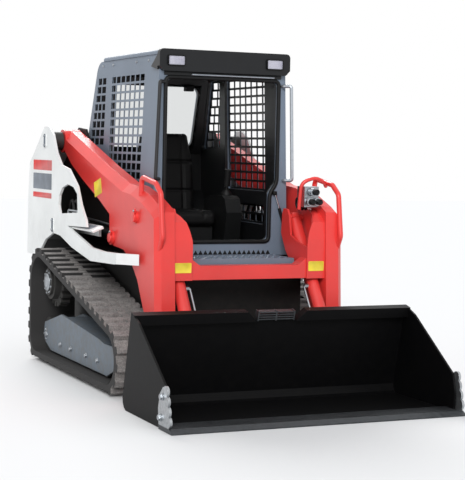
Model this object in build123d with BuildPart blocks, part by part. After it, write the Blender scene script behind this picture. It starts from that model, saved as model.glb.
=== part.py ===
"""Compact track loader with canopy cab, radial lift arms and bucket.

All lengths are in millimetres. The ground is z = 0, the front of the machine
points along -Y and its left side along +X. Each piece is one named solid, or
one set of like solids, and is written to parts/.
"""
import os
from math import atan2, cos, degrees, hypot, pi, radians, sin

from build123d import *

os.makedirs("parts", exist_ok=True)

# Tub, from which the widths of the tracks, towers, arms and cab follow
TUB_HALF = 478
TUB_PLATE = 14
TUB_FRONT = -400
TUB_REAR = 1590
TUB_LOW = 250
TUB_TOP = 810

# Tracks and undercarriage
TRACK_GAP = 35
TRACK_WIDTH = 320
TRACK_IN = TUB_HALF + TRACK_GAP
TRACK_OUT = TRACK_IN + TRACK_WIDTH
TRACK_MID = (TRACK_IN + TRACK_OUT) / 2
IDLER_TIP = 215
IDLER_REAR_TIP = 180
SPROCKET_TIP = 235
SPROCKET_TOP = 780
LUG_HEIGHT = 28
BELT = 34
LUG_COUNT = 46
LUG_LENGTH = 54
LUG_ROOT = 3
LUG_LAP = 18
TRACK_REAR = 1225
TRACK_FRONT = -650
IDLER_FRONT = (TRACK_FRONT + IDLER_TIP, IDLER_TIP)
IDLER_REAR = (TRACK_REAR - IDLER_REAR_TIP, IDLER_REAR_TIP)
SPROCKET = (TRACK_REAR - SPROCKET_TIP, SPROCKET_TOP - SPROCKET_TIP)
WHEEL_GAP = 1
ROLLER_RADIUS = 52
ROLLER_COUNT = 5
FRAME_INSET = 77
FRAME_IN = TRACK_IN + FRAME_INSET
FRAME_OUT = TRACK_OUT - FRAME_INSET
FRAME_PLATE = 16

# Lanes of the lift arms and towers beside the tub
ARM_GAP = 22
ARM_WIDTH = 120
ARM_IN = TUB_HALF + ARM_GAP
ARM_OUT = ARM_IN + ARM_WIDTH
TOWER_LANE = 104
TOWER_SKIN = 16
TOWER_OUT = ARM_OUT + TOWER_LANE + TOWER_SKIN
TOWER_IN = TUB_HALF
TOWER_WEB = 14
TOWER_REAR = TUB_REAR + 4
TOWER_TOP = 1612
REAR_END = TUB_REAR + 100

# Rear door and hood
DOOR_STAND = 62
DOOR_OUT = TUB_REAR + DOOR_STAND
DOOR_DEPTH = 44
DOOR_LOW = 590
HOOD_TOP = 1335
HOOD_PLATE = 16

# Cab
CAB_FRONT = -205
CAB_SILL = TUB_TOP
CAB_EAVE = 2060
CAB_HALF_LOW = TUB_HALF - 8
CAB_TAPER = 42
CAB_HALF_TOP = CAB_HALF_LOW - CAB_TAPER
CAB_WALL = 36
CAB_REAR = 1160
CAB_REAR_TOP = CAB_REAR - 190
CAB_REAR_KNEE = 1440
HOOD_FRONT = CAB_REAR + 42
ROOF_RISE = 28
ROOF_TOP = CAB_EAVE + ROOF_RISE
DOORWAY_LOW = CAB_SILL + 95
DOORWAY_TOP = CAB_EAVE - 148
DOORWAY_HALF = CAB_HALF_TOP - 50
FLOOR_TOP = 620
VISOR_DEPTH = 40
VISOR_FRONT = CAB_FRONT - VISOR_DEPTH
VISOR_HALF = CAB_HALF_TOP + 17
VISOR_TOP = ROOF_TOP + 4
VISOR_LOW = DOORWAY_TOP + 44

# Lift arms: pins as (y, z) in the rest pose
LIFT_PIVOT = (1165, 1515)
LIFT_PIN = (80, 907)
LIFT_BASE = (960, 940)
TILT_TOP = (-350, 1060)
HINGE = (-830, 160)
TILT_PIN = (-850, 349)
KNEE_WIDTH = 120
KNEE_IN = ARM_IN - KNEE_WIDTH
KNEE_PLATE = 14
KNEE_FRONT = -676
PIN_GAP = 0.3
PIVOT_PIN = 32
CYL_PIN = 22
HINGE_PIN = 24

# Hydraulic cylinders
LIFT_X = (ARM_IN + ARM_OUT) / 2
LIFT_BARREL = 38
LIFT_ROD = 24
LIFT_EYE = 34
TILT_X = ARM_IN - 55
TILT_BARREL = 39
TILT_ROD = 23
TILT_EYE = 31
EYE_WIDTH = 48
BORE_GAP = 0.3

# Bucket and coupler
BUCKET_LAP = 67
BUCKET_HALF = TRACK_OUT + BUCKET_LAP
BUCKET_TIP = -1690
BUCKET_PLATE = 12
BUCKET_HEEL = (-895, 66)
BUCKET_BACK_TOP = (-1016, 564)
FLOOR_START = -948
EDGE_DEPTH = 190
EDGE_THICK = 25
CUTTER = 14
CUTTER_LOBES = 4
NOTCH_TOP = 190
NOTCH_LOW = 125
NOTCH_DEPTH = 62


def polar(centre, radius, angle):
    """Point at an angle in degrees round a centre, in the side plane."""
    return (centre[0] + radius * cos(radians(angle)), centre[1] + radius * sin(radians(angle)))


def along(start, end, distance):
    """Point at a distance from start towards end, in the side plane."""
    span = hypot(end[0] - start[0], end[1] - start[1])
    return (start[0] + (end[0] - start[0]) * distance / span, start[1] + (end[1] - start[1]) * distance / span)


def slab(points, x0, x1, mode=Mode.ADD):
    """Side profile in y and z, drawn out sideways from x0 to x1."""
    with BuildSketch(Plane.YZ.offset(x0)) as profile:
        with BuildLine():
            Polyline(*points, close=True)
        make_face()
    extrude(profile.sketch, amount=x1 - x0, mode=mode)


def drum(centre, radius, x0, x1, mode=Mode.ADD):
    """Round piece with its axis along X, centred on a point of the side plane."""
    with BuildSketch(Plane.YZ.offset(x0)) as disc:
        with Locations(centre):
            Circle(radius)
    extrude(disc.sketch, amount=x1 - x0, mode=mode)


def hull(circles, x0, x1, mode=Mode.ADD):
    """Plate whose edge runs tight round a set of circles given as (centre, radius)."""
    with BuildSketch(Plane.YZ.offset(x0)) as outline:
        with BuildLine() as rims:
            for centre, radius in circles:
                CenterArc(centre, radius, 0, 360)
        make_hull(rims.edges())
    extrude(outline.sketch, amount=x1 - x0, mode=mode)


def block(x0, x1, y0, y1, z0, z1, mode=Mode.ADD):
    """Box between two corners."""
    with Locations(((x0 + x1) / 2, (y0 + y1) / 2, (z0 + z1) / 2)):
        Box(x1 - x0, y1 - y0, z1 - z0, mode=mode)


def bar(x, start, end, radius, mode=Mode.ADD):
    """Round bar in the side plane at x, from start to end, both given as (y, z)."""
    length = hypot(end[0] - start[0], end[1] - start[1])
    axis = Plane(origin=(x, start[0], start[1]), z_dir=(0, end[0] - start[0], end[1] - start[1]))
    with BuildSketch(axis) as section:
        Circle(radius)
    extrude(section.sketch, amount=length, mode=mode)


def tube(points, radius, bend):
    """Round tube bent along a polyline in space."""
    with BuildLine() as path:
        FilletPolyline(*points, radius=bend)
    with BuildSketch(Plane(origin=path.line @ 0, z_dir=path.line % 0)) as section:
        Circle(radius)
    sweep(section.sketch, path=path.line)


def strip(points, thick, x0, x1, mode=Mode.ADD):
    """Bent plate: a polyline in the side plane, thickened to its right-hand side."""
    inner = []
    for i, p in enumerate(points):
        before = points[max(i - 1, 0)]
        after = points[min(i + 1, len(points) - 1)]
        a = atan2(p[1] - before[1], p[0] - before[0]) if i > 0 else None
        b = atan2(after[1] - p[1], after[0] - p[0]) if i < len(points) - 1 else None
        a = b if a is None else a
        b = a if b is None else b
        turn = (b - a + pi) % (2 * pi) - pi
        mid = a + turn / 2
        reach = thick / cos(turn / 2)
        inner.append((p[0] + reach * sin(mid), p[1] - reach * cos(mid)))
    slab(list(points) + inner[::-1], x0, x1, mode)


# Tracks: one closed loop each, with its lugs standing on the belt
belt_rims = [
    (IDLER_FRONT, IDLER_TIP - LUG_HEIGHT),
    (IDLER_REAR, IDLER_REAR_TIP - LUG_HEIGHT),
    (SPROCKET, SPROCKET_TIP - LUG_HEIGHT),
]
belt_inside = [(centre, radius - BELT) for centre, radius in belt_rims]


def lugs(phase, x0, x1):
    """One row of lugs round the belt, from x0 to x1; phase shifts the row by a part of the pitch."""
    with BuildSketch(Plane.YZ.offset(x0)) as belt:
        with BuildLine() as rims:
            for centre, radius in belt_rims:
                CenterArc(centre, radius, 0, 360)
        make_hull(rims.edges())
    loop = belt.sketch.faces()[0].outer_wire()
    middle = belt.sketch.center()
    with BuildSketch(Plane.YZ.offset(x0)) as row:
        for i in range(LUG_COUNT):
            at = loop @ ((i + phase) / LUG_COUNT)
            ahead = loop % ((i + phase) / LUG_COUNT)
            out = Vector(0, ahead.Z, -ahead.Y)
            if out.dot(at - middle) < 0:
                out = -out
            with BuildLine():
                corners = []
                for step, rise in ((-0.5, -LUG_ROOT), (-0.4, LUG_HEIGHT), (0.4, LUG_HEIGHT), (0.5, -LUG_ROOT)):
                    corner = at + ahead * (step * LUG_LENGTH) + out * rise
                    corners.append((corner.Y, corner.Z))
                Polyline(*corners, close=True)
            make_face()
    extrude(row.sketch, amount=x1 - x0)


with BuildPart() as track_left:
    hull(belt_rims, TRACK_IN, TRACK_OUT)
    lugs(0, TRACK_IN, TRACK_MID + LUG_LAP)
    lugs(0.5, TRACK_MID - LUG_LAP, TRACK_OUT)
    hull(belt_inside, TRACK_IN, TRACK_OUT, Mode.SUBTRACT)
    block(TRACK_IN, TRACK_OUT, TRACK_FRONT - LUG_HEIGHT, TRACK_REAR + LUG_HEIGHT, -LUG_HEIGHT, 0, Mode.SUBTRACT)
track_left.part.label = "track_left"
export_step(track_left.part, "parts/track_left.step")

with BuildPart() as track_right:
    mirror(track_left.part, about=Plane.YZ)
track_right.part.label = "track_right"
export_step(track_right.part, "parts/track_right.step")

# Track frames: two side plates and a sloped top plate, with tubes to the main frame
ROLLER_AXIS = LUG_HEIGHT + BELT + ROLLER_RADIUS + WHEEL_GAP
frame_profile = [
    (IDLER_FRONT[0], IDLER_FRONT[1] - 60),
    (IDLER_FRONT[0] + 190, ROLLER_AXIS - 34),
    (IDLER_REAR[0] - 120, ROLLER_AXIS - 34),
    (IDLER_REAR[0] + 20, IDLER_REAR[1] - 52),
    (IDLER_REAR[0] + 56, IDLER_REAR[1]),
    (IDLER_REAR[0] + 30, IDLER_REAR[1] + 80),
    (700, 352),
    (600, 346),
    (-90, 288),
    (-190, 272),
    (IDLER_FRONT[0], IDLER_FRONT[1] + 60),
    (IDLER_FRONT[0] - 60, IDLER_FRONT[1]),
]
frame_top = [(600, 346), (-90, 288), (-190, 272), (-190, 236), (-90, 250), (600, 306)]
with BuildPart() as track_frames:
    slab(frame_profile, FRAME_IN, FRAME_IN + FRAME_PLATE)
    slab(frame_profile, FRAME_OUT - FRAME_PLATE, FRAME_OUT)
    slab(frame_top, FRAME_IN, FRAME_OUT)
    for y in (0, 560):
        drum((y, 240), 44, TUB_HALF, FRAME_IN)
    mirror(about=Plane.YZ)
track_frames.part.label = "track_frames"
export_step(track_frames.part, "parts/track_frames.step")

HUB_IN = FRAME_IN + FRAME_PLATE
HUB_OUT = FRAME_OUT - FRAME_PLATE

# Rollers along the lower run
ROLLER_FIRST = IDLER_FRONT[0] + 270
ROLLER_STEP = (IDLER_REAR[0] - 250 - ROLLER_FIRST) / (ROLLER_COUNT - 1)
with BuildPart() as rollers:
    for i in range(ROLLER_COUNT):
        spot = (ROLLER_FIRST + i * ROLLER_STEP, ROLLER_AXIS)
        drum(spot, ROLLER_RADIUS, HUB_IN + 8, HUB_OUT - 8)
        drum(spot, 26, HUB_IN, HUB_OUT)
    mirror(about=Plane.YZ)
rollers.part.label = "rollers"
export_step(rollers.part, "parts/rollers.step")

# Idlers at both ends of the ground run
with BuildPart() as idlers:
    for spot, tip in ((IDLER_FRONT, IDLER_TIP), (IDLER_REAR, IDLER_REAR_TIP)):
        drum(spot, tip - LUG_HEIGHT - BELT - WHEEL_GAP, HUB_IN + 8, HUB_OUT - 8)
        drum(spot, 40, HUB_IN, HUB_OUT)
    mirror(about=Plane.YZ)
idlers.part.label = "idlers"
export_step(idlers.part, "parts/idlers.step")

# Drive sprockets with their motors, flanged to the main frame
SPROCKET_ROOT = SPROCKET_TIP - LUG_HEIGHT - BELT - WHEEL_GAP
SPROCKET_TEETH = 17
with BuildPart() as sprockets:
    drum(SPROCKET, SPROCKET_ROOT - 30, TRACK_MID - 32, TRACK_MID + 32)
    with BuildSketch(Plane.YZ.offset(TRACK_MID - 32)) as teeth:
        with Locations(SPROCKET):
            with PolarLocations(SPROCKET_ROOT - 34, SPROCKET_TEETH):
                RectangleRounded(66, 34, 10)
    extrude(teeth.sketch, amount=64)
    drum(SPROCKET, 118, TRACK_MID + 32, TRACK_MID + 74)
    drum(SPROCKET, 92, TRACK_MID + 74, TRACK_MID + 92)
    drum(SPROCKET, 105, TUB_HALF, TRACK_MID - 32)
    mirror(about=Plane.YZ)
sprockets.part.label = "sprockets"
export_step(sprockets.part, "parts/sprockets.step")

# Main frame: an open tub of plate between the tracks
with BuildPart() as main_frame:
    block(-TUB_HALF, TUB_HALF, TUB_FRONT, TUB_REAR, TUB_LOW, TUB_TOP)
    block(
        -TUB_HALF + TUB_PLATE,
        TUB_HALF - TUB_PLATE,
        TUB_FRONT + TUB_PLATE,
        TUB_REAR - TUB_PLATE,
        TUB_LOW + TUB_PLATE,
        TUB_TOP,
        Mode.SUBTRACT,
    )
    front_low = main_frame.faces().sort_by(Axis.Y)[0].edges().sort_by(Axis.Z)[0]
    chamfer(front_low, length=120, length2=90)
main_frame.part.label = "main_frame"
export_step(main_frame.part, "parts/main_frame.step")

# Rear towers: outer skins that run forward into the fender bands
BAND_FRONT = -335
BAND_LOW = 775
FACET_END = -465
BAND_HEIGHT = 67
SHELF_FRONT = -150
SHELF = 8
LEDGE_IN = ARM_OUT + 16
BACK_PLATE = 12
TOWER_FOOT = 703
HEAD_REAR = LIFT_PIVOT[0] + 37
tower_rear = [
    (TOWER_REAR - 294, 1538),
    (TOWER_REAR - 134, 1420),
    (TOWER_REAR - 41, 1358),
    (TOWER_REAR - 6, 1121),
    (TOWER_REAR, TOWER_FOOT),
    (TOWER_REAR - 294, TOWER_FOOT),
]
tower_low = [tower_rear[-1], (1244, 762), (1145, 829), (958, 886), (800, 876), (547, 815), (154, 756)]
band_low = [(-297, 771), (BAND_FRONT, BAND_LOW)]
band_top = [(BAND_FRONT, BAND_LOW + BAND_HEIGHT), (-108, 835), (134, 843), (527, 925), (640, 952), (245, 965)]
lobe_front = [(259, 1006), (361, 1100), (404, 1160), (447, 1221), (529, 1269), (634, 1330), (802, 1353)]
tower_head = [(914, 1436), (998, 1560), (LIFT_PIVOT[0] - 65, TOWER_TOP), (HEAD_REAR, TOWER_TOP)]
arch = [(814, 1025), (850, 1081), (832, 1146), (772, 1200), (649, 1228), (526, 1213), (444, 1170), (428, 1050)]
SKIN_IN = TOWER_OUT - TOWER_SKIN
WEB_OUT = TOWER_IN + TOWER_WEB
with BuildPart() as tower_skins:
    slab(tower_rear + tower_low[1:] + band_low + band_top + lobe_front + tower_head, SKIN_IN, TOWER_OUT)
    slab(arch, SKIN_IN, TOWER_OUT, Mode.SUBTRACT)
    with BuildSketch(Plane.XY.offset(BAND_LOW)) as facet:
        with BuildLine():
            Polyline(
                (TOWER_OUT, BAND_FRONT),
                (SKIN_IN, BAND_FRONT),
                (LEDGE_IN + 4, FACET_END + 18),
                (LEDGE_IN + 4, FACET_END),
                close=True,
            )
        make_face()
    extrude(facet.sketch, amount=BAND_HEIGHT)
    block(LEDGE_IN, LEDGE_IN + TOWER_SKIN, 250, 700, 905, 968)
    block(LEDGE_IN, SKIN_IN, 660, 700, 905, 968)
    for pin in (LIFT_PIVOT, LIFT_BASE):
        with BuildSketch(Plane.YZ.offset(TOWER_OUT)) as keeper:
            with Locations(pin):
                SlotOverall(96, 34, rotation=90)
        extrude(keeper.sketch, amount=8)
    mirror(about=Plane.YZ)
tower_skins.part.label = "tower_skins"
export_step(tower_skins.part, "parts/tower_skins.step")

# Inner webs of the towers, with the ledges that carry the hood and the rear door
LEDGE = 34
web_front = [(SHELF_FRONT, 760), (SHELF_FRONT, 960), (480, 960), (700, 1180), (LIFT_PIVOT[0] - 125, TOWER_TOP - 12)]
with BuildPart() as tower_webs:
    slab(web_front + [(HEAD_REAR, TOWER_TOP)] + tower_rear[:-1] + [(tower_rear[-1][0], 760)], TOWER_IN, WEB_OUT)
    block(TOWER_IN - LEDGE, TOWER_IN, HOOD_FRONT + 38, TOWER_REAR - 154, 1290, HOOD_TOP - HOOD_PLATE)
    block(TOWER_IN - LEDGE, TOWER_IN, TUB_REAR - 30, DOOR_OUT - DOOR_DEPTH, 820, 1270)
    mirror(about=Plane.YZ)
tower_webs.part.label = "tower_webs"
export_step(tower_webs.part, "parts/tower_webs.step")

# Closing plates round the rear of the towers
with BuildPart() as tower_backs:
    strip(tower_rear[:-1] + [(tower_rear[-1][0] + BACK_PLATE, TOWER_FOOT)], BACK_PLATE, WEB_OUT, SKIN_IN)
    mirror(about=Plane.YZ)
tower_backs.part.label = "tower_backs"
export_step(tower_backs.part, "parts/tower_backs.step")

# Shelves over the tracks, between the webs and the skins, running on under the fender bands
with BuildPart() as track_shelves:
    strip(tower_low + [(SHELF_FRONT, 765)], SHELF, WEB_OUT, SKIN_IN)
    strip([(SHELF_FRONT, 765)] + band_low, SHELF, LEDGE_IN + 4, SKIN_IN)
    mirror(about=Plane.YZ)
track_shelves.part.label = "track_shelves"
export_step(track_shelves.part, "parts/track_shelves.step")

# Pins of the arms and lift cylinders, welded between the webs and the skins
PIN_SIDE = 6
with BuildPart() as tower_pins:
    drum(LIFT_PIVOT, 62, ARM_OUT + PIN_SIDE, SKIN_IN)
    drum(LIFT_PIVOT, PIVOT_PIN, WEB_OUT, SKIN_IN)
    drum(LIFT_BASE, 44, LIFT_X + EYE_WIDTH / 2 + PIN_SIDE, SKIN_IN)
    drum(LIFT_BASE, 44, WEB_OUT, LIFT_X - EYE_WIDTH / 2 - PIN_SIDE)
    drum(LIFT_BASE, CYL_PIN, WEB_OUT, SKIN_IN)
    mirror(about=Plane.YZ)
tower_pins.part.label = "tower_pins"
export_step(tower_pins.part, "parts/tower_pins.step")

# Engine: one plain block standing on the floor of the tub
ENGINE_HALF = 260
ENGINE_TOP = 1120
with BuildPart() as engine_block:
    block(-ENGINE_HALF, ENGINE_HALF, TUB_REAR - 420, TUB_REAR - 90, TUB_LOW + TUB_PLATE, ENGINE_TOP)
    block(-ENGINE_HALF + 80, ENGINE_HALF - 80, TUB_REAR - 380, TUB_REAR - 130, ENGINE_TOP, ENGINE_TOP + 100)
engine_block.part.label = "engine_block"
export_step(engine_block.part, "parts/engine_block.step")

# Engine hood: lid behind the cab, hinged at its front edge
HOOD_HALF = TOWER_IN - 14
HOOD_HINGE = (HOOD_FRONT + 8, HOOD_TOP - 8)
with BuildPart() as engine_hood:
    hood_line = [(HOOD_FRONT, HOOD_TOP), (TOWER_REAR - 124, HOOD_TOP), (TOWER_REAR + 6, HOOD_TOP - 35)]
    strip(hood_line, HOOD_PLATE, -HOOD_HALF, HOOD_HALF)
    for x in (-300, 220):
        drum(HOOD_HINGE, 13, x, x + 80)
engine_hood.part.label = "engine_hood"
export_step(engine_hood.part, "parts/engine_hood.step")

# Rear door with a louvred opening
DOOR_HALF = TOWER_IN - 14
DOOR_TOP = 1278
GRILLE_HALF = DOOR_HALF - 84
GRILLE_LOW = 760
GRILLE_TOP = 1200
LOUVRES = 9
with BuildPart() as rear_door:
    block(-DOOR_HALF, DOOR_HALF, DOOR_OUT - DOOR_DEPTH, DOOR_OUT, DOOR_LOW, DOOR_TOP)
    fillet(rear_door.faces().sort_by(Axis.Y)[-1].edges().filter_by(Axis.X), 30)
    block(-GRILLE_HALF, GRILLE_HALF, DOOR_OUT - 26, DOOR_OUT, GRILLE_LOW, GRILLE_TOP, Mode.SUBTRACT)
    for i in range(LOUVRES):
        z = GRILLE_LOW + (i + 0.5) * (GRILLE_TOP - GRILLE_LOW) / LOUVRES
        blade = [(DOOR_OUT - 27, z + 8), (DOOR_OUT - 2, z - 12), (DOOR_OUT - 2, z - 18), (DOOR_OUT - 27, z + 2)]
        slab(blade, -GRILLE_HALF - 2, GRILLE_HALF + 2)
    for z in (GRILLE_LOW - 90, GRILLE_TOP - 70):
        with Locations((DOOR_HALF, DOOR_OUT, z)):
            Cylinder(11, 80, align=(Align.CENTER, Align.CENTER, Align.MIN))
rear_door.part.label = "rear_door"
export_step(rear_door.part, "parts/rear_door.step")

# Rear bumper beam with two tie-down eyes
BUMPER_LOW = 420
BUMPER_TOP = 570
EYE_AT = (REAR_END - 35, 380)
EYE_IN = TUB_HALF - 48
BUMPER_HALF = TUB_HALF + 82
EYE_PLATE = 25
EYE_BORE = 28
with BuildPart() as rear_bumper:
    block(-BUMPER_HALF, BUMPER_HALF, TUB_REAR, REAR_END, BUMPER_LOW, BUMPER_TOP)
    chamfer(rear_bumper.faces().sort_by(Axis.Y)[-1].edges().filter_by(Axis.Z), 60)
    for side in (-1, 1):
        low, high = sorted((side * EYE_IN, side * (EYE_IN + EYE_PLATE)))
        lug = [(TUB_REAR + 10, BUMPER_LOW), (TUB_REAR + 10, EYE_AT[1] + 20), (TUB_REAR + 35, EYE_AT[1] - 50)]
        slab(lug + [(REAR_END - 5, EYE_AT[1] - 50), (REAR_END - 2, BUMPER_LOW)], low, high)
        drum(EYE_AT, EYE_BORE, low, high, Mode.SUBTRACT)
rear_bumper.part.label = "rear_bumper"
export_step(rear_bumper.part, "parts/rear_bumper.step")

# Tail lamps on the towers' rear plates
with BuildPart() as tail_lamps:
    block(SKIN_IN - 154, SKIN_IN - 54, TOWER_REAR, TOWER_REAR + 22, 760, 830)
    mirror(about=Plane.YZ)
tail_lamps.part.label = "tail_lamps"
export_step(tail_lamps.part, "parts/tail_lamps.step")

# Cab: a hollow canopy of plate walls, narrower at the top, with the windows cut through them
CAB_FOOT = 770
CAB_FIREWALL = 1180
CROWN = 90
LEAN = (CAB_HALF_LOW - CAB_HALF_TOP) / (CAB_EAVE - CAB_SILL)
REAR_LEAN = (CAB_REAR - CAB_REAR_TOP) / (CAB_EAVE - CAB_REAR_KNEE)


def cab_half(z):
    """Half width of the cab's outer skin at a height."""
    return CAB_HALF_LOW - LEAN * (z - CAB_SILL)


def rear_skin(z):
    """Outside of the rear wall at a height above its knee."""
    return CAB_REAR - REAR_LEAN * (z - CAB_REAR_KNEE)


cab_front_line = [(CAB_FRONT, CAB_SILL), (CAB_FRONT, CAB_EAVE)]
cab_rear_line = [(CAB_REAR, CAB_REAR_KNEE), (CAB_REAR, CAB_FIREWALL), (CAB_FOOT, CAB_SILL)]
cab_outside = cab_front_line + [(CAB_REAR_TOP, CAB_EAVE)] + cab_rear_line
room_front = [(y + CAB_WALL, z) for y, z in cab_front_line]
room_crown = [(CAB_REAR_TOP - CAB_WALL - CROWN * 0.8, CAB_EAVE), (rear_skin(CAB_EAVE - CROWN) - CAB_WALL, CAB_EAVE - CROWN)]
room_rear = [(y - CAB_WALL, z) for y, z in cab_rear_line]


def wedge(y0, y1, inset, mode):
    """Front outline of the cab, moved inwards by the inset and drawn out from y0 to y1."""
    low = cab_half(CAB_SILL) - inset
    top = cab_half(CAB_EAVE) - inset
    with BuildSketch(Plane.XZ.offset(-y1)) as face:
        with BuildLine():
            Polyline((-low, CAB_SILL), (low, CAB_SILL), (top, CAB_EAVE), (-top, CAB_EAVE), close=True)
        make_face()
    extrude(face.sketch, amount=y1 - y0, mode=mode)


def window(points, corner, x0, x1, mode):
    """Side window: an outline in y and z with rounded corners, drawn out sideways from x0 to x1."""
    with BuildSketch(Plane.YZ.offset(x0)) as pane:
        with BuildLine():
            Polyline(*points, close=True)
        make_face()
        fillet(pane.vertices(), corner)
    extrude(pane.sketch, amount=x1 - x0, mode=mode)


WINDOW_CORNER = 24
WINDOW_TOP = CAB_EAVE - 98
WINDOW_LOW = 1210
QUARTER_LOW = CAB_REAR_KNEE + 40
QUARTER_FRONT = CAB_REAR_TOP - 196
B_POST = 91
EDGE_MARGIN = CAB_WALL + 4
main_window = [(34, WINDOW_LOW), (QUARTER_FRONT - B_POST, WINDOW_LOW), (QUARTER_FRONT - B_POST, WINDOW_TOP), (34, WINDOW_TOP)]
quarter_window = [
    (QUARTER_FRONT, QUARTER_LOW),
    (rear_skin(QUARTER_LOW) - EDGE_MARGIN, QUARTER_LOW),
    (rear_skin(WINDOW_TOP) - EDGE_MARGIN, WINDOW_TOP),
    (QUARTER_FRONT, WINDOW_TOP),
]
low_window = [(60, 990), (560, 990), (560, 1120), (60, 1120)]
side_windows = [main_window, quarter_window, low_window]
REAR_WINDOW_HALF = CAB_HALF_TOP - 98
POST_STEP = 50
POST_STEP_TOP = 1275

with BuildPart() as cab_space:
    slab(room_front + room_crown + room_rear, -CAB_HALF_LOW, CAB_HALF_LOW)
    wedge(CAB_FRONT, CAB_REAR, CAB_WALL, Mode.INTERSECT)

with BuildPart() as cab_shell:
    slab(cab_outside, -CAB_HALF_LOW, CAB_HALF_LOW)
    fillet(cab_shell.edges().filter_by(Axis.X).sort_by_distance((0, CAB_REAR_TOP, CAB_EAVE))[0], CROWN + 20)
    wedge(CAB_FRONT, CAB_REAR, 0, Mode.INTERSECT)
    add(cab_space.part, mode=Mode.SUBTRACT)
    with BuildSketch(Plane.XZ.offset(-CAB_FRONT - CAB_WALL - 1)) as doorway:
        with BuildLine():
            Polyline(
                (-DOORWAY_HALF, DOORWAY_LOW),
                (DOORWAY_HALF - POST_STEP, DOORWAY_LOW),
                (DOORWAY_HALF - POST_STEP, POST_STEP_TOP - 70),
                (DOORWAY_HALF, POST_STEP_TOP),
                (DOORWAY_HALF, DOORWAY_TOP),
                (-DOORWAY_HALF, DOORWAY_TOP),
                close=True,
            )
        make_face()
        fillet(doorway.vertices(), 34)
    extrude(doorway.sketch, amount=CAB_WALL + 2, mode=Mode.SUBTRACT)
    for outline in side_windows:
        window(outline, WINDOW_CORNER, -CAB_HALF_LOW - 1, CAB_HALF_LOW + 1, Mode.SUBTRACT)
    with BuildSketch(Plane.XZ.offset(-CAB_REAR - 1)) as rear_opening:
        with Locations((0, 1700)):
            RectangleRounded(2 * REAR_WINDOW_HALF, 430, 60)
    extrude(rear_opening.sketch, amount=CAB_REAR - CAB_REAR_TOP + CAB_WALL + 2, mode=Mode.SUBTRACT)

# Side walls of the cab
with BuildPart() as cab_sides:
    add(cab_shell.part)
    wedge(CAB_FRONT - 1, CAB_REAR + 1, CAB_WALL, Mode.SUBTRACT)
cab_sides.part.label = "cab_sides"
export_step(cab_sides.part, "parts/cab_sides.step")

# Front wall with the doorway, between the side walls
CAB_SPLIT = CAB_FRONT + 2 * CAB_WALL
with BuildPart() as cab_front:
    add(cab_shell.part)
    wedge(CAB_FRONT - 1, CAB_SPLIT, CAB_WALL, Mode.INTERSECT)
cab_front.part.label = "cab_front"
export_step(cab_front.part, "parts/cab_front.step")

# Rear wall with its window, bent forward at the foot over the engine bay
with BuildPart() as cab_rear:
    add(cab_shell.part)
    wedge(CAB_SPLIT, CAB_REAR + 1, CAB_WALL, Mode.INTERSECT)
cab_rear.part.label = "cab_rear"
export_step(cab_rear.part, "parts/cab_rear.step")

# Roof panel over the canopy
ROOF_LAP = 8
with BuildPart() as cab_roof:
    block(-CAB_HALF_TOP - ROOF_LAP, CAB_HALF_TOP + ROOF_LAP, CAB_FRONT, CAB_REAR_TOP - CROWN + 8, CAB_EAVE, ROOF_TOP)
    fillet(cab_roof.edges().filter_by(Axis.Z).group_by(Axis.Y)[-1], 60)
    fillet(cab_roof.faces().sort_by(Axis.Z)[-1].edges().sort_by(Axis.Y)[1:], ROOF_RISE * 0.7)
cab_roof.part.label = "cab_roof"
export_step(cab_roof.part, "parts/cab_roof.step")

# Black visor across the front of the roof, with cheeks round the corners of the cab
LAMP_SPOT = VISOR_HALF - 110
LAMP_MID = VISOR_TOP - 70
LAMP_HALF = 58
CHEEK = 112
with BuildPart() as cab_visor:
    block(-VISOR_HALF, VISOR_HALF, VISOR_FRONT, CAB_FRONT, VISOR_LOW, VISOR_TOP)
    chamfer(cab_visor.edges().filter_by(Axis.Y).group_by(Axis.Z)[0], 30)
    fillet(cab_visor.edges().filter_by(Axis.Y).group_by(Axis.Z)[-1], 26)
    cheek = [(CAB_FRONT, VISOR_LOW + 8), (CAB_FRONT, CAB_EAVE - 2), (CAB_FRONT + CHEEK, VISOR_LOW + 30)]
    slab(cheek, CAB_HALF_TOP - 20, VISOR_HALF)
    slab(cheek, -VISOR_HALF, 20 - CAB_HALF_TOP)
    wedge(CAB_FRONT, CAB_REAR, 0, Mode.SUBTRACT)
cab_visor.part.label = "cab_visor"
export_step(cab_visor.part, "parts/cab_visor.step")

# Two rectangular work lamps on the visor
with BuildPart() as work_lamps:
    block(LAMP_SPOT - LAMP_HALF, LAMP_SPOT + LAMP_HALF, VISOR_FRONT - 14, VISOR_FRONT, LAMP_MID - 33, LAMP_MID + 33)
    fillet(work_lamps.faces().sort_by(Axis.Y)[0].edges(), 6)
    mirror(about=Plane.YZ)
work_lamps.part.label = "work_lamps"
export_step(work_lamps.part, "parts/work_lamps.step")

# Punched screens, set in the side windows flush with the outside of the walls
SCREEN_THICK = 5
SCREEN_BAR = 15
HOLE_LONG = 93
HOLE_HIGH = 58
with BuildPart() as screen_core:
    wedge(CAB_FRONT, CAB_REAR, SCREEN_THICK, Mode.ADD)

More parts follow.
